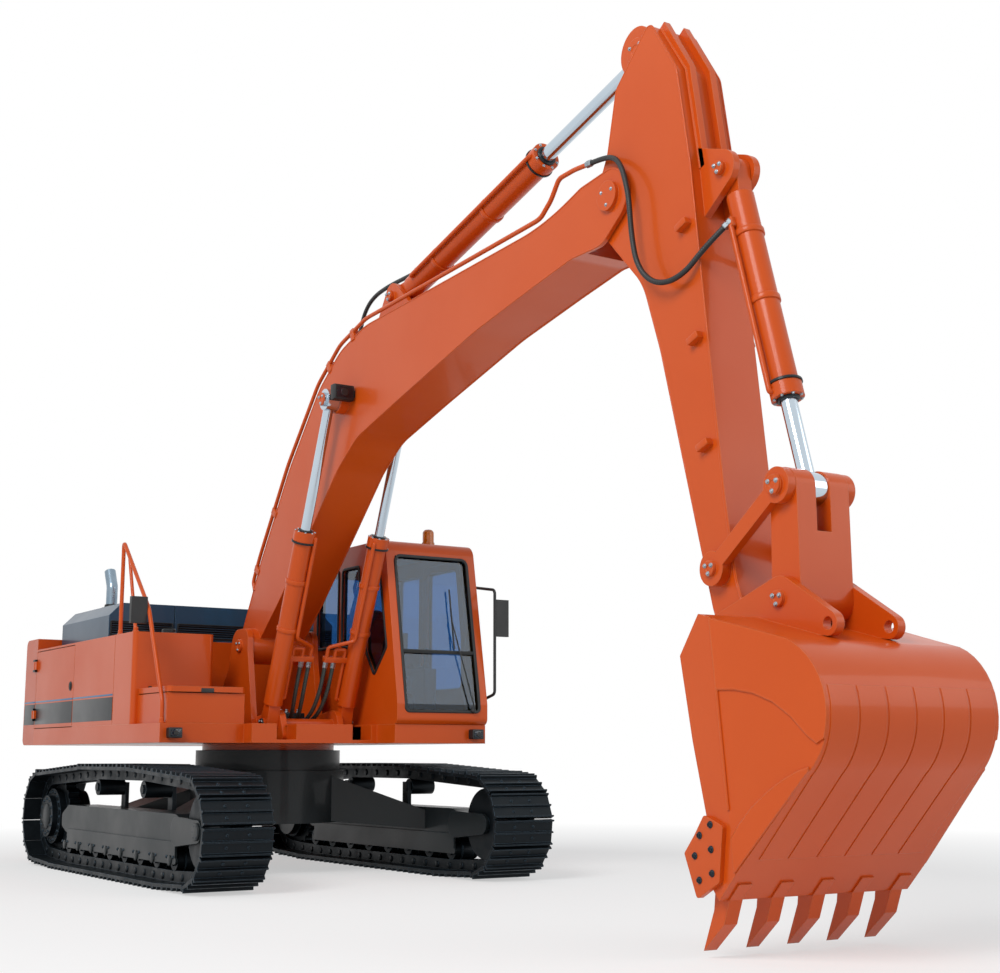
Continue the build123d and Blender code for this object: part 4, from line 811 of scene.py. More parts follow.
def addBoomLines():
    bm = bmesh.new()
    places = lines["boomPipe"]
    for hand in (-1, 1):
        run = [onLink("boomFoot", "boom", u, v, hand * lines["boomPipeY"]) for u, v in places]
        bentPipe(bm, run, lines["pipeRadius"], lines["wideBend"])
        for i in lines["boomClamps"]:
            (u0, v0), (u1, v1) = places[i - 1], places[i]
            rise = math.degrees(math.atan2(v1 - v0, u1 - u0)) + leans["boom"]
            a = math.radians(rise)
            under = Vector((math.sin(a), 0, -math.cos(a))) * lines["clampDrop"] / 1000
            middle = onLink("boomFoot", "boom", (u0 + u1) / 2, (v0 + v1) / 2, hand * lines["clampY"])
            slab(bm, middle + under, lines["clampSize"], 6, rise)
    finishPiece("boomPipes", bm, "orangeEnamel", "boom")
    bm = bmesh.new()
    turned(bm, onLink("boomFoot", "boom", *lines["armHoseFoot"]), up, lines["armHoseSocket"], 6)
    finishPiece("boomFittings", bm, "zincPlate", "boom")


def addArmLines():
    bm = bmesh.new()
    addTubePipe(bm, "armTube", lines["armPipe"], 1, lines["tightBend"])
    addBands(bm, "armTube")
    finishPiece("armCylinderPipes", bm, "orangeEnamel", "arm_tube")
    bm = bmesh.new()
    turned(bm, onTube("armTube", *lines["armPort"]), leaning("armTube", 0, 1), lines["armSocket"], 16)
    turned(bm, onTube("armTube", *lines["armElbow"]), -front, lines["armNut"], 6)
    finishPiece("armCylinderFittings", bm, "zincPlate", "arm_tube")
    bm = bmesh.new()
    fittings = bmesh.new()
    for hand, port in lines["bucketPorts"].items():
        run = [(400, 112, -26), (port, 112, -26), (port, 75, -14)]
        addTubePipe(bm, "bucketTube", run, hand, lines["tightBend"])
        block = onTube("bucketTube", *lines["bucketBlock"], hand)
        slab(bm, block, lines["bucketBlockSize"], 8, leans["bucketTube"])
        nut = onTube("bucketTube", *lines["bucketNut"], hand)
        turned(fittings, nut, (-0.55, 0.4 * hand, -0.6), hoses["fitting"], 6)
    addBands(bm, "bucketTube")
    finishPiece("bucketCylinderPipes", bm, "orangeEnamel", "bucket_tube")
    finishPiece("bucketCylinderFittings", fittings, "zincPlate", "bucket_tube")


addDeckLines()
addBoomLines()
addArmLines()
print("pipes and fittings joined")


# Pin caps: place, half width over the caps, radius, body that carries them
pinCaps = {
    "boltSize": 11,
    "caps": {
        "boomFoot": (382, 60, "upper"),
        "boomTube": (448, 44, "upper"),
        "boomTip": (245, 96, "boom"),
        "boomRod": (452, 58, "boom_rods"),
        "armTube": (136, 46, "boom"),
        "armRod": (112, 92, "arm"),
        "bucketTube": (136, 44, "arm"),
        "sideLink": (275, 48, "side_links"),
        "rodLink": (281, 58, "side_links"),
        "bucket": (275, 48, "bucket"),
        "hLink": (275, 48, "bucket"),
    },
}
for name, (half, radius, body) in pinCaps["caps"].items():
    plates = bmesh.new()
    screws = bmesh.new()
    for hand in (-1, 1):
        base = spot(pins[name][0], hand * half, pins[name][1])
        out = left * hand
        ring = [(radius, -2), (radius, 8), (radius - 5, 12), (0.45 * radius, 12), (0.4 * radius, 7), (2, 7)]
        turned(plates, base, out, ring, 36)
        for i in range(3):
            a = 2 * math.pi * i / 3 + 0.5
            reach = Vector((math.cos(a), 0, math.sin(a))) * 0.68 * radius / 1000
            bolt(screws, base + out * 0.012 + reach, out, pinCaps["boltSize"])
    finishPiece(name + "PinCaps", plates, "blackEnamel" if name == "boomTube" else "orangeEnamel", body)
    finishPiece(name + "PinScrews", screws, "zincPlate", body)

# Gland heads of the cylinders: tube end, gland radius, rod radius, distance from the middle
glands = {
    "boomTube": {"end": 1820, "radius": 100, "rod": 45, "sides": (-372, 372), "body": "boom_tubes"},
    "armTube": {"end": 2300, "radius": 114, "rod": 58, "sides": (0,), "body": "arm_tube"},
    "bucketTube": {"end": 1620, "radius": 102, "rod": 51, "sides": (0,), "body": "bucket_tube"},
}
for name, spec in glands.items():
    rings = bmesh.new()
    screws = bmesh.new()
    along = leaning(name, 1, 0)
    lift = leaning(name, 0, 1)
    for y in spec["sides"]:
        base = onLink(name, name, spec["end"], 0, y)
        rod, radius = spec["rod"], spec["radius"]
        lip = [(rod + 22, -2), (rod + 22, 8), (rod + 16, 14), (rod + 2, 14), (rod + 1, 4)]
        turned(rings, base, along, lip, 36)
        seat = onLink(name, name, spec["end"] - 92, 0, y)
        turned(rings, seat, along, [(radius + 6, -16), (radius + 8, -12), (radius + 8, 0)], 36)
        for i in range(8):
            a = 2 * math.pi * (i + 0.5) / 8
            reach = (radius - 14) / 1000
            bolt(screws, base + (lift * math.cos(a) + left * math.sin(a)) * reach, along, 9)
    finishPiece(name + "GlandRings", rings, "blackEnamel", spec["body"])
    finishPiece(name + "GlandScrews", screws, "zincPlate", spec["body"])
print("pins and glands capped")


# Window seals: one closed rubber section round each opening
seals = {
    "section": [(-4, -14), (6, -14), (11, -8), (11, 8), (6, 14), (-4, 14)],
    "rightY": 532,
    "leftY": 1492,
    "frontLow": 1490,
    "frontHigh": 2940,
    "frontRight": 622,
    "frontLeft": 1402,
    "kneeHeight": 1560,
    "frontX": 1617,
    "frontSlope": 0.18235,
    "frontNormal": (0.9838, 0, 0.1794),
    "rear": [(-160, y, z) for y, z in ((642, 2150), (1382, 2150), (1382, 2880), (642, 2880))],
    "right": [
        [(480, 2130, 40), (900, 2080, 40), (830, 2880, 40), (480, 2880, 40)],
        [(990, 2060, 40), (1160, 1830, 30), (1400, 2080, 40), (1250, 2800, 60), (930, 2860, 40)],
        [(-60, 2130, 40), (400, 2130, 40), (400, 2880, 40), (-60, 2880, 60)],
    ],
    "left": [(-60, 2130, 40), (390, 2130, 40), (390, 2880, 40), (-60, 2880, 60)],
    "door": [(550, 1720, 60), (1220, 1720, 60), (1215, 2200, 150), (1110, 2885, 60), (550, 2885, 50)],
}


def frontPlace(y, z, out=0):
    slope = max(0, z - seals["kneeHeight"]) * seals["frontSlope"]
    return spot(seals["frontX"] - slope + out, y, z)


def addSeals():
    bm = bmesh.new()
    for corners in seals["right"]:
        sweep(bm, roundedLoop(corners, seals["rightY"]), seals["section"], True, -left)
    sweep(bm, roundedLoop(seals["left"], seals["leftY"]), seals["section"], True, left)
    y0, y1, z0, z1 = seals["frontRight"], seals["frontLeft"], seals["frontLow"], seals["frontHigh"]
    flat = roundedLoop([(y0, z0, 35), (y1, z0, 35), (y1, z1, 60), (y0, z1, 60)], 0)
    loop = []
    for i, place in enumerate(flat):
        here = frontPlace(place.x * 1000 + swingX, place.z * 1000)
        loop.append(here)
        after = flat[(i + 1) % len(flat)]
        if (after - place).length > 0.4:
            # a long side follows the knee in the glass
            for k in range(1, 8):
                step = place.lerp(after, k / 8)
                loop.append(frontPlace(step.x * 1000 + swingX, step.z * 1000))
    sweep(bm, loop, seals["section"], True, Vector(seals["frontNormal"]))
    sweep(bm, [spot(*place) for place in seals["rear"]], seals["section"], True, -front)
    slab(bm, frontPlace(1012, 2040, -4), (18, 780, 34), 5, -10.3)
    finishPiece("cabSeals", bm, "sealRubber", "upper")
    bm = bmesh.new()
    sweep(bm, roundedLoop(seals["door"], seals["leftY"]), seals["section"], True, left)
    finishPiece("doorSeal", bm, "sealRubber", "cab_door")
    bm = bmesh.new()
    bentPipe(bm, [frontPlace(1330, 1500, 26), frontPlace(1330, 1530, 34), frontPlace(1170, 2330, 26)], 7, 30)
    turned(bm, frontPlace(1330, 1500, 0), front, [(26, 0), (26, 18), (18, 30), (10, 34)], 16)
    sweep(bm, [frontPlace(1175, z, 14) for z in (2070, 2280, 2490, 2640)], circle(8, 8))
    finishPiece("wiper", bm, "mouldedPolymer", "upper")


addSeals()


def addFitting(name, spec):
    # plates are middle, size, edge and lean; turned parts base, profile and sides; pipes places, radius, bend
    bm = bmesh.new()
    for middle, size, *shape in spec.get("plates", ()):
        slab(bm, spot(*middle), size, *shape)
    for base, profile, sides in spec.get("turned", ()):
        turned(bm, spot(*base), spec.get("axis", up), profile, sides)
    for places, radius, bend in spec.get("pipes", ()):
        bentPipe(bm, [spot(*place) for place in places], radius, bend)
    for places, radius in spec.get("hoops", ()):
        sweep(bm, [spot(*place) for place in places], circle(radius))
    finishPiece(name, bm, spec["finish"], spec["body"])


# Door handle, roof hatch, mat, lining and levers of the cab
cabFittings = {
    "doorHandle": {
        "finish": "mouldedPolymer",
        "body": "cab_door",
        "plates": [((1150, 1497, 1640), (170, 14, 70), 5)],
        "pipes": [([(1090, 1500, 1640), (1090, 1520, 1640), (1210, 1520, 1640), (1210, 1500, 1640)], 9, 20)],
    },
    "roofHatch": {
        "finish": "slateEnamel",
        "body": "upper",
        "plates": [((560, 1012, 3094), (620, 560, 26), 10), ((560, 1012, 3108), (520, 460, 16), 8)],
    },
    "floorMat": {
        "finish": "sealRubber",
        "body": "upper",
        "plates": [((900, 1012, 1431), (760, 620, 12), 5)]
        + [((x, 1012, 1439), (14, 560, 6), 2) for x in range(600, 1220, 40)],
    },
    "cabLinings": {
        "finish": "cabLining",
        "body": "upper",
        "plates": [
            ((-99, 1012, 1790), (14, 800, 680), 6),
            ((560, 592, 1740), (1240, 12, 600), 6),
            ((180, 1432, 1780), (520, 12, 660), 6),
            ((520, 1012, 3029), (1120, 800, 12), 6),
        ],
    },
    "leverGrips": {
        "finish": "mouldedPolymer",
        "body": "upper",
        "plates": [((560, y, 1942), (330, 120, 26), 12) for y in (682, 1342)],
        "turned": [((720, y, 1925), [(44, 0), (40, 30), (26, 60), (24, 70)], 20) for y in (682, 1342)]
        + [((720, y, 2020), [(14, 0), (26, 20), (34, 60), (30, 100), (12, 116)], 20) for y in (682, 1342)],
    },
}
for name, spec in cabFittings.items():
    addFitting(name, spec)


# Seat: crowned cushions on a pedestal with a rubber bellows
seatSpec = {
    "seatCushion": {"middle": (430, 1012, 1775), "size": (500, 490, 150), "crown": (0, 0, 22), "lean": 4},
    "seatBack": {"middle": (215, 1012, 2150), "size": (130, 470, 600), "crown": (26, 0, 0), "lean": -8},
    "seatHeadRest": {"middle": (150, 1012, 2460), "size": (90, 280, 160), "crown": (16, 0, 0), "lean": -8},
    "cells": 14,
    "fullness": 5,
    "seamDepth": 9,
    "seamWidth": 0.07,
    "seams": (-0.42, 0.42),
    "base": {
        "finish": "mouldedPolymer",
        "body": "upper",
        "turned": [
            ((420, 1012, 1426), [(190, 0), (190, 20), (170, 24)], 36),
            ((420, 1012, 1426), [(150 + 18 * (i % 2), 24 + 18 * i) for i in range(13)], 36),
        ],
        "plates": [((430, 1012, 1680), (430, 420, 40), 12), ((182, 1012, 1850), (50, 300, 360), 14, -8)]
        + [((420, y, 1960), (330, 56, 50), 18) for y in (776, 1248)]
        + [((250, y, 1880), (50, 30, 170), 10) for y in (776, 1248)],
    },
}


def addPad(name, spec):
    bm = bmesh.new()
    bmesh.ops.create_cube(bm, size=2)
    bmesh.ops.subdivide_edges(bm, edges=bm.edges[:], cuts=seatSpec["cells"], use_grid_fill=True)
    half = Vector(spec["size"]) / 2
    power = seatSpec["fullness"]
    for vert in bm.verts:
        a, b, c = vert.co
        length = (abs(a) ** power + abs(b) ** power + abs(c) ** power) ** (1 / power)
        place = Vector((a * half.x, b * half.y, c * half.z)) / length
        # the face that carries weight swells between its corners, and the sewn channels pull it in
        swell = [(1 - b * b) * (1 - c * c), 0, (1 - a * a) * (1 - b * b)]
        groove = sum(math.exp(-(((b - seam) / seatSpec["seamWidth"]) ** 2)) for seam in seatSpec["seams"])
        for axis in (0, 2):
            faced = vert.co[axis] > 0.6
            if spec["crown"][axis] and faced:
                place[axis] += spec["crown"][axis] * swell[axis] - seatSpec["seamDepth"] * groove
        pinch = 1 - 0.03 * (1 - abs(b)) * abs(a) ** 6
        vert.co = Vector((place.x * pinch, place.y, place.z)) / 1000
    turn = Matrix.Translation(spot(*spec["middle"])) @ Matrix.Rotation(-math.radians(spec["lean"]), 4, "Y")
    bmesh.ops.transform(bm, matrix=turn, verts=bm.verts[:])
    piece = finishPiece(name, bm, "wovenPolyester", "upper", 70)
    smooth = piece.modifiers.new("smooth", "SUBSURF")
    smooth.levels = 1
    smooth.render_levels = 1
    return piece


def addSeat():
    pads = [addPad(name, seatSpec[name]) for name in ("seatCushion", "seatBack", "seatHeadRest")]
    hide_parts("seat")
    addFitting("seatBase", seatSpec["base"])


addSeat()
print("cab fitted out")


# Lamps: housings are CAD; bezel, lens and bulb cup are added on their front faces
lampSpec = {
    "places": [(1120, -1372, 1285), (1647, 1372, 1285)],
    "width": 104,
    "height": 74,
    "boomHousing": [((2150, -345, 4220), (80, 200, 140), 16), ((2150, -238, 4220), (40, 40, 60), 5)],
    "boomFace": (2190, -345, 4220),
    "boomWidth": 170,
    "boomHeight": 110,
}


def addLampFace(bezels, lenses, middle, out, width, height):
    slab(bezels, middle, (14, width + 14, height + 14), 6)
    slab(lenses, middle + out * 0.006, (12, width - 14, height - 14), 5)
    turned(bezels, middle + out * 0.006, out, [(0.34 * height, 0), (0.3 * height, 7), (0.12 * height, 8)], 24)


def addLamps():
    bezels = bmesh.new()
    lenses = bmesh.new()
    for place in lampSpec["places"]:
        addLampFace(bezels, lenses, spot(*place), front, lampSpec["width"], lampSpec["height"])
    finishPiece("workLampBezels", bezels, "mouldedPolymer", "upper")
    finishPiece("workLampLenses", lenses, "tintedGlass", "upper")
    # the boom's own lamp, on a bracket in front of the cylinder's rod eye
    bezels = bmesh.new()
    lenses = bmesh.new()
    for middle, size, edge in lampSpec["boomHousing"]:
        slab(bezels, spot(*middle), size, edge)
    face = spot(*lampSpec["boomFace"])
    addLampFace(bezels, lenses, face, front, lampSpec["boomWidth"], lampSpec["boomHeight"])
    finishPiece("boomLamp", bezels, "mouldedPolymer", "boom")
    finishPiece("boomLampLens", lenses, "tintedGlass", "boom")


addLamps()

# Mirrors: silvered faces set in the CAD housings, looking back; place, width and height
mirrorSpec = {"left": (1619, 1633, 2375, 116, 320), "right": (549, -1556, 2380, 126, 214)}
for hand, (x, y, z, width, height) in mirrorSpec.items():
    plate = ((x, y, z), (6, width, height), 2)
    addFitting(hand + "MirrorFace", {"finish": "silveredGlass", "body": "upper", "plates": [plate]})


# Grab rail beside the tool box, one bent tube with a slanted brace and flanged feet
railSpec = {
    "radius": 19,
    "braceRadius": 16,
    "y": -1462,
    "rail": [(1005, 1370), (1005, 1560), (580, 2400), (-170, 3090), (-170, 2210)],
    "brace": [(255, 2210), (4, 2930)],
    "feet": [(1005, 1370), (-170, 2210), (255, 2210)],
}


def addRail():
    bm = bmesh.new()
    bentPipe(bm, [spot(x, railSpec["y"], z) for x, z in railSpec["rail"]], railSpec["radius"], 120)
    bentPipe(bm, [spot(x, railSpec["y"], z) for x, z in railSpec["brace"]], railSpec["braceRadius"])
    for x, z in railSpec["feet"]:
        turned(bm, spot(x, railSpec["y"], z), up, [(29, 0), (29, 8), (22, 12), (22, 40), (19, 44)], 24)
    piece = finishPiece("grabRail", bm, "orangeEnamel", "upper")
    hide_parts("handrails")


addRail()


# Hood grilles: a frame with slats let into the front of the hood and of its fixed cover
grilleSpec = {
    "x": -1150,
    "low": 2285,
    "high": 2420,
    "slats": 5,
    "slatTurn": 40,
    "parts": [(-1232, -588, "upper"), (-530, 1212, "engine_hood")],
}
for y0, y1, body in grilleSpec["parts"]:
    x, low, high = grilleSpec["x"], grilleSpec["low"], grilleSpec["high"]
    middle, width = (y0 + y1) / 2, y1 - y0
    step = (high - low) / (grilleSpec["slats"] + 1)
    plates = [((x + 6, middle, z), (22, width, 14), 4) for z in (low, high)]
    plates += [((x + 6, y, (low + high) / 2), (22, 14, 140), 4) for y in (y0, y1)]
    for i in range(grilleSpec["slats"]):
        plates.append(((x + 5, middle, low + step * (i + 1)), (24, width, 5), 2, grilleSpec["slatTurn"]))
    addFitting(body + "Grille", {"finish": "blackEnamel", "body": body, "plates": plates})


# Hood, doors and tank: handles, latches, cap, exhaust collar, lifting eyes, grit pads
latch = [(46, -2), (46, 5), (40, 8), (36, 3), (4, 3)]
hoopTurns = (0, 0.6, 1.2, 1.9, 2.5, 3.14)
bodyFittings = {
    "hoodHandles": {
        "finish": "blackEnamel",
        "body": "engine_hood",
        "plates": [((-1140, y, 2240), (16, 90, 40), 5) for y in (-150, 830)],
        "pipes": [
            ([(-2500, y, 2610), (-2500, y, 2655), (-2340, y, 2655), (-2340, y, 2610)], 10, 30)
            for y in (-150, 830)
        ],
    },
    "pump_doorLatch": {
        "finish": "mouldedPolymer",
        "body": "pump_door",
        "axis": -left,
        "turned": [((-1530, -1492, 1780), latch, 28)],
        "plates": [((-1530, -1497, 1780), (20, 10, 60), 4)],
    },
    "radiator_doorLatch": {
        "finish": "mouldedPolymer",
        "body": "radiator_door",
        "axis": left,
        "turned": [((-1530, 1492, 1780), latch, 28)],
        "plates": [((-1530, 1497, 1780), (20, 10, 60), 4)],
    },
    "tankCap": {
        "finish": "blackEnamel",
        "body": "upper",
        "turned": [
            ((80, -1080, 2210), [(74, -2), (74, 14), (66, 20), (66, 44), (60, 52), (8, 54)], 24),
            ((-1850, -1000, 2610), [(96, -2), (96, 10), (74, 14), (70, 40), (59, 46)], 36),
        ],
    },
    "counterweightEyes": {
        "finish": "orangeCasting",
        "body": "upper",
        "turned": [((-3080, y, 2328), [(70, 0), (70, 8), (40, 14), (30, 16)], 24) for y in (-700, 700)],
        "hoops": [
            ([(-3080 + 46 * math.cos(a), y, 2344 + 52 * math.sin(a)) for a in hoopTurns], 14)
            for y in (-700, 700)
        ],
        "plates": [((-3330, y, 1480), (40, 150, 70), 12) for y in (-1000, 1000)],
    },
    "lidPads": {
        "finish": "gritTape",
        "body": "tool_box_lid",
        "plates": [((x, -1072, 1692), (250, 560, 8), 3) for x in (520, 840)],
    },
    "lidHandle": {
        "finish": "mouldedPolymer",
        "body": "tool_box_lid",
        "plates": [((1068, -1072, 1655), (12, 120, 40), 5)],
    },
    "gritPads": {
        "finish": "gritTape",
        "body": "upper",
        "plates": [((-700, y, 2213), (520, 240, 6), 2) for y in (-900, 900)]
        + [((-800, y, 2213), (300, 240, 6), 2) for y in (-560, 560)],
    },
}
for name, spec in bodyFittings.items():
    addFitting(name, spec)

# Plain stripe along the right side: a black film with a blue line over it, no lettering
stripeSpec = {
    "y": -1493,
    "films": {"blackFilm": (1522.5, 215), "blueFilm": (1652, 16)},
    "parts": {
        "counterweight": (-3130, -2750, "upper"),
        "door": (-2726, -1446, "pump_door"),
        "panel": (-1426, -226, "upper"),
    },
}
for name, (x0, x1, body) in stripeSpec["parts"].items():
    for finish, (z, height) in stripeSpec["films"].items():
        plate = (((x0 + x1) / 2, stripeSpec["y"], z), (x1 - x0, 3, height), 1)
        piece = name + finish[0].upper() + finish[1:]
        addFitting(piece, {"finish": finish, "body": body, "plates": [plate]})
print("body dressed")


# Undercarriage: wheel bolts, roller caps and the shoes' bolts
trackSpec = {
    "y": 1340,
    "tumblerX": 2030,
    "tumblerZ": 485,
    "rollers": 8,
    "rollerSpan": 2860,
    "rollerZ": 229.4,
    "shoes": 48,
    "circles": [
        (-2030, 485, 420), (-620, 795, 180), (620, 795, 180), (2030, 485, 420), (1430, 229, 189),
        (-1430, 229, 189),
    ],
    "shoeStart": (-59.3, 0, 40),
    "boltAcross": (-95, 95),
    "boltAlong": (-49, 49),
    "shoeThickness": 14,
    "pinDepth": 52,
    "pinAcross": (-124, 124),
}


def addWheelBolts():
    bm = bmesh.new()
    caps = bmesh.new()
    for hand in (-1, 1):
        out = left * hand
        for radius, face, count in ((245, 1465, 20), (172, 1525, 12)):
            for i in range(count):
                a = 2 * math.pi * i / count
                x = -trackSpec["tumblerX"] + radius * math.cos(a)
                bolt(bm, spot(x, hand * face, trackSpec["tumblerZ"] + radius * math.sin(a)), out, 12)
        hub = spot(-trackSpec["tumblerX"], hand * 1525, trackSpec["tumblerZ"])
        turned(caps, hub, out, [(130, -2), (130, 6), (118, 16), (60, 22), (30, 24)], 40)
        hub = spot(trackSpec["tumblerX"], hand * 1515, trackSpec["tumblerZ"])
        turned(caps, hub, out, [(72, -2), (72, 10), (62, 18), (20, 20)], 32)
        for i in range(6):
            a = 2 * math.pi * i / 6
            bolt(bm, hub + Vector((0.05 * math.cos(a), 0.012 * hand, 0.05 * math.sin(a))), out, 8)
        for i in range(trackSpec["rollers"]):
            x = trackSpec["rollerSpan"] * (i / (trackSpec["rollers"] - 1) - 0.5)
            base = spot(x, hand * 1505, trackSpec["rollerZ"])
            turned(caps, base, out, [(44, -2), (44, 7), (36, 12), (12, 13)], 24)
            for side in (-1, 1):
                bolt(bm, spot(x + side * 72, hand * 1505, trackSpec["rollerZ"] + 30), out, 11)
    finishPiece("wheelCaps", caps, "blackEnamel", "undercarriage")
    finishPiece("wheelBolts", bm, "trackSteel", "undercarriage")


addWheelBolts()


def trackPlaces():
    # the shoes sit on a taut band round the wheels: gives the places and ways of the shoes, then of the pins
    loop = []
    for k in range(1440):
        a = 2 * math.pi * k / 1440 - math.pi / 2
        way = Vector((math.cos(a), 0, math.sin(a)))
        x, z, radius = max(trackSpec["circles"], key=lambda c: c[0] * way.x + c[1] * way.z + c[2])
        loop.append(Vector((x, 0, z)) + way * radius)
    steps = [(b - a).length for a, b in zip(loop, loop[1:] + loop[:1])]
    start = Vector(trackSpec["shoeStart"])
    pitch = sum(steps) / trackSpec["shoes"]
    run = sum(steps) - (loop[0].x - start.x)
    marks = sorted((run + pitch * i / 2) % sum(steps) for i in range(2 * trackSpec["shoes"]))
    places = []
    gone = 0
    for here, after, step in zip(loop, loop[1:] + loop[:1], steps):
        while marks and marks[0] <= gone + step:
            along = (after - here).normalized()
            places.append((here + along * (marks.pop(0) - gone), along))
        gone += step
    first = min(range(len(places)), key=lambda i: (places[i][0] - start).length)
    return places[first % 2 :: 2], places[(first + 1) % 2 :: 2]


def addShoeBolts():
    bm = bmesh.new()
    shoes, joints = trackPlaces()
    for hand in (-1, 1):
        middle = hand * trackSpec["y"]
        for place, along in shoes:
            out = Vector((along.z, 0, -along.x))
            for y in trackSpec["boltAcross"]:
                for reach in trackSpec["boltAlong"]:
                    head = place + along * reach + out * trackSpec["shoeThickness"]
                    bolt(bm, spot(head.x, middle + y, head.z), out, 12)
        for place, along in joints:
            pin = place - Vector((along.z, 0, -along.x)) * trackSpec["pinDepth"]
            for y in trackSpec["pinAcross"]:
                side = left if y > 0 else -left
                turned(bm, spot(pin.x, middle + y, pin.z), side, [(30, -1), (30, 5), (24, 9), (6, 9)], 14)
    finishPiece("shoeBolts", bm, "trackSteel", "undercarriage")


addShoeBolts()


# Weld beads along the edges of the boom and arm: along and over the line of pins, then the corner's radius
beadSpec = {
    "radius": 7,
    "boom": [
        (-200, -95, 120), (-235, 225, 110), (482, 690, 1500), (1354, 1160, 1500), (2186, 1490, 900),
        (2676, 1555, 700), (3160, 1465, 800), (5730, 360, 2500), (6200, 290, 260), (6623, 140, 180),
        (6613, -170, 180), (6210, -245, 200), (5880, -90, 300), (5387, 50, 800), (4600, 262, 2500),
        (3453, 490, 1500), (2620, 645, 700), (2207, 590, 600), (1534, 378, 1500), (700, 124, 1500),
    ],
    "arm": [
        (-894, 783, 50), (-705, 305, 80), (-330, 50, 250), (-120, -185, 150), (220, -180, 160),
        (760, 45, 500), (1278, 34, 1500), (3044, -128, 200), (3389, -125, 122), (3389, 108, 105),
        (2964, 112, 400), (2456, 212, 1500), (314, 750, 900), (-394, 885, 150),
    ],
}


def addBeads(name, pin, half, body):
    bm = bmesh.new()
    for hand in (-1, 1):
        flat = roundedLoop(beadSpec[name], 0, 8)
        loop = [onLink(pin, name, p.x * 1000 + swingX, p.z * 1000, hand * half) for p in flat]
        sweep(bm, loop, circle(beadSpec["radius"], 8), True, left)
    finishPiece(name + "Welds", bm, "orangeEnamel", body, 60)


addBeads("boom", "boomFoot", 228, "boom")
addBeads("arm", "boomTip", 186, "arm")


# Arm: the two raised ridges along its front and the tabs on its sides, from the boom's tip
armSpec = {
    "ridge": [(-850, 740), (-394, 840), (330, 700), (330, 795), (-398, 934), (-872, 838)],
    "ridgeInner": 60,
    "ridgeOuter": 110,
    "tabs": [(664, 560), (1419, 378), (2092, 200)],
    "tabY": 212,
    "tabSize": (46, 60, 110),
}


def addArmDetail():
    bm = bmesh.new()
    for hand in (-1, 1):
        sides = []
        for y in (armSpec["ridgeInner"], armSpec["ridgeOuter"]):
            sides.append([onLink("boomTip", "arm", u, v, hand * y) for u, v in armSpec["ridge"]])
        skin(bm, sides, False)
        y = hand * (armSpec["ridgeOuter"] + 2)
        run = [onLink("boomTip", "arm", u, v + 52, y) for u, v in armSpec["ridge"][:3]]
        sweep(bm, run, circle(beadSpec["radius"], 8), False, left)
        for u, v in armSpec["tabs"]:
            middle = onLink("boomTip", "arm", u, v, hand * armSpec["tabY"])
            slab(bm, middle, armSpec["tabSize"], 8, leans["arm"])
    finishPiece("armRidges", bm, "orangeEnamel", "arm")


addArmDetail()


# Bucket: curved side overlays, wear strips, cutter bolts and tooth pins, measured from its pin
bucketSpec = {
    "half": 715,
    "backHalf": 635,
    "bend": 390,
    "depth": 1140,
    "overlay": 12,
    "upperPlate": [
        (10, 394), (400, 394), (418, 520), (455, 650), (520, 780), (610, 890), (720, 985), (770, 1045),
    ],
    "lowerPlate": [
        (1378, 394), (1205, 394), (1135, 460), (1055, 560), (985, 680), (935, 790), (900, 900),
        (890, 972),
    ],
    "bendSeam": [(0, 390), (500, 390), (1050, 390)],
    "seamRadius": 8,
    "arc": [(205, 905), (545, 1132), (920, 948)],
    "floor": [(920, 948), (1515, 240)],
    "stripWidth": 190,
    "stripDepth": 14,
    "strips": 6,
    "stripPitch": 208,
    "cutterFace": 745,
    "cutterBolts": [(1115, 262), (1165, 165), (1245, 250), (1270, 110), (1370, 240), (1400, 130)],
    "teeth": 5,
    "toothPitch": 303.75,
    "toothPin": (1475, 235),
}


def arcPlaces(share0, share1, count):
    # places on the bucket's round back between two shares of the arc
    (ax, ay), (bx, by), (cx, cy) = bucketSpec["arc"]
    d = 2 * (ax * (by - cy) + bx * (cy - ay) + cx * (ay - by))
    squares = [x * x + y * y for x, y in bucketSpec["arc"]]
    mx = (squares[0] * (by - cy) + squares[1] * (cy - ay) + squares[2] * (ay - by)) / d
    my = (squares[0] * (cx - bx) + squares[1] * (ax - cx) + squares[2] * (bx - ax)) / d
    start = math.atan2(ay - my, ax - mx)
    turn = math.atan2(cy - my, cx - mx) - start
    radius = math.hypot(ax - mx, ay - my)
    spokes = [start + turn * (share0 + (share1 - share0) * i / count) for i in range(count + 1)]
    return [(mx + radius * math.cos(a), my + radius * math.sin(a)) for a in spokes]


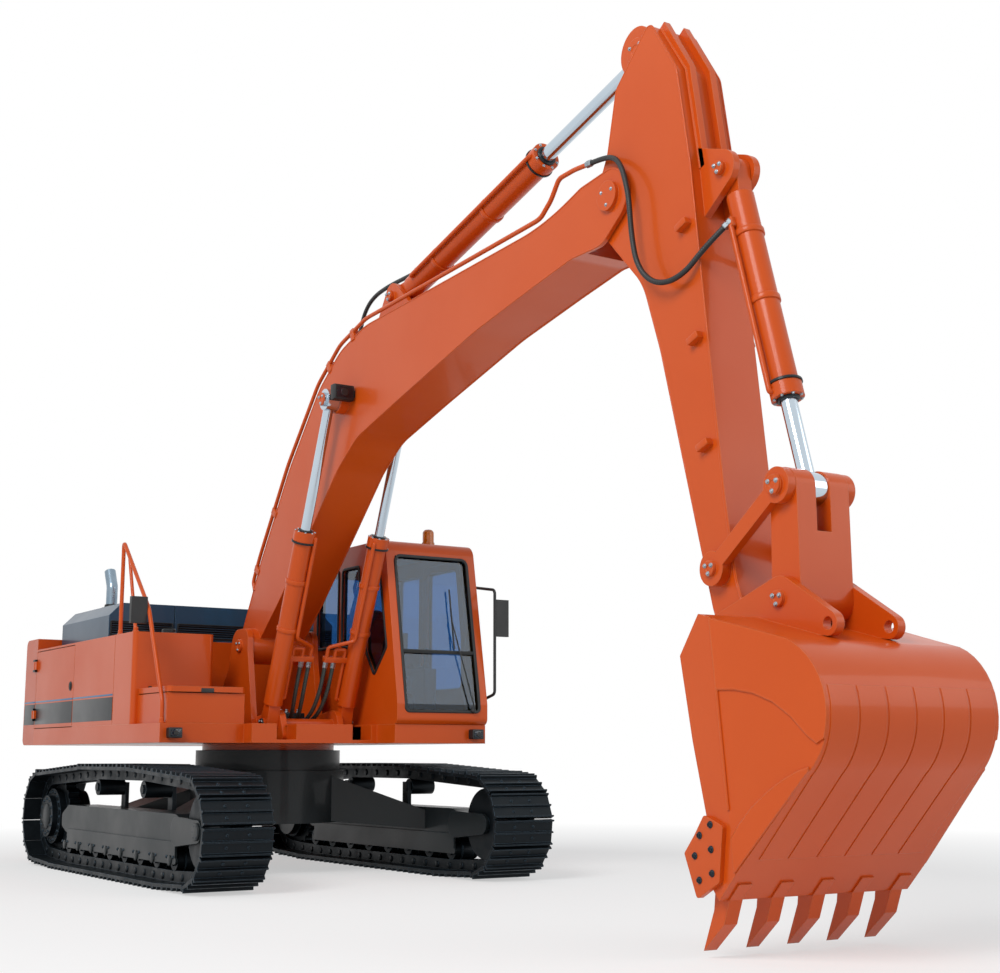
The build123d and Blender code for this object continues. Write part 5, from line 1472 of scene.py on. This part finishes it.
def bucketSide(u, v, hand, out):
    # a place on the bucket's side, which leans in behind its bend
    lean = (bucketSpec["half"] - bucketSpec["backHalf"]) / (bucketSpec["depth"] - bucketSpec["bend"])
    half = bucketSpec["half"] - max(0, v - bucketSpec["bend"]) * lean
    return onLink("bucket", "bucket", u, v, hand * (half + out))


def addBucketDetail():
    bm = bmesh.new()
    upper = bucketSpec["upperPlate"] + arcPlaces(0.74, 0, 10)
    lower = bucketSpec["lowerPlate"] + arcPlaces(0.97, 1, 1)
    for hand in (-1, 1):
        for loop in (upper, lower):
            inner = [bucketSide(u, v, hand, -3) for u, v in loop]
            outer = [bucketSide(u, v, hand, bucketSpec["overlay"]) for u, v in loop]
            skin(bm, [inner, outer], False)
        for run in (upper[1:8], lower[1:8], bucketSpec["bendSeam"]):
            places = [bucketSide(u, v, hand, 4) for u, v in run]
            sweep(bm, places, circle(bucketSpec["seamRadius"], 8), False, left)
    (u0, v0), (u1, v1) = bucketSpec["floor"]
    line = arcPlaces(0.42, 1, 16) + [(u0 + (u1 - u0) * k / 6, v0 + (v1 - v0) * k / 6) for k in range(1, 5)]
    depth = bucketSpec["stripDepth"]
    wide = bucketSpec["stripWidth"] / 2
    section = [(-wide, 4), (wide, 4), (wide, 4 - depth)]
    section += [(wide - 4, -depth), (4 - wide, -depth), (-wide, 4 - depth)]
    for i in range(bucketSpec["strips"]):
        y = (i - (bucketSpec["strips"] - 1) / 2) * bucketSpec["stripPitch"]
        places = [onLink("bucket", "bucket", u, v, y) for u, v in line]
        sweep(bm, places, section, False, left)
    finishPiece("bucketPlates", bm, "orangeEnamel", "bucket")
    bm = bmesh.new()
    for hand in (-1, 1):
        for u, v in bucketSpec["cutterBolts"]:
            bolt(bm, onLink("bucket", "bucket", u, v, hand * bucketSpec["cutterFace"]), left * hand, 15)
    for i in range(bucketSpec["teeth"]):
        y = (i - (bucketSpec["teeth"] - 1) / 2) * bucketSpec["toothPitch"]
        for hand in (-1, 1):
            base = onLink("bucket", "bucket", *bucketSpec["toothPin"], y + hand * 46)
            turned(bm, base, left * hand, [(17, -1), (17, 4), (12, 7), (3, 7)], 18)
    finishPiece("bucketBolts", bm, "trackSteel", "bucket")


addBucketDetail()
print("undercarriage and bucket dressed")

low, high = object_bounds()
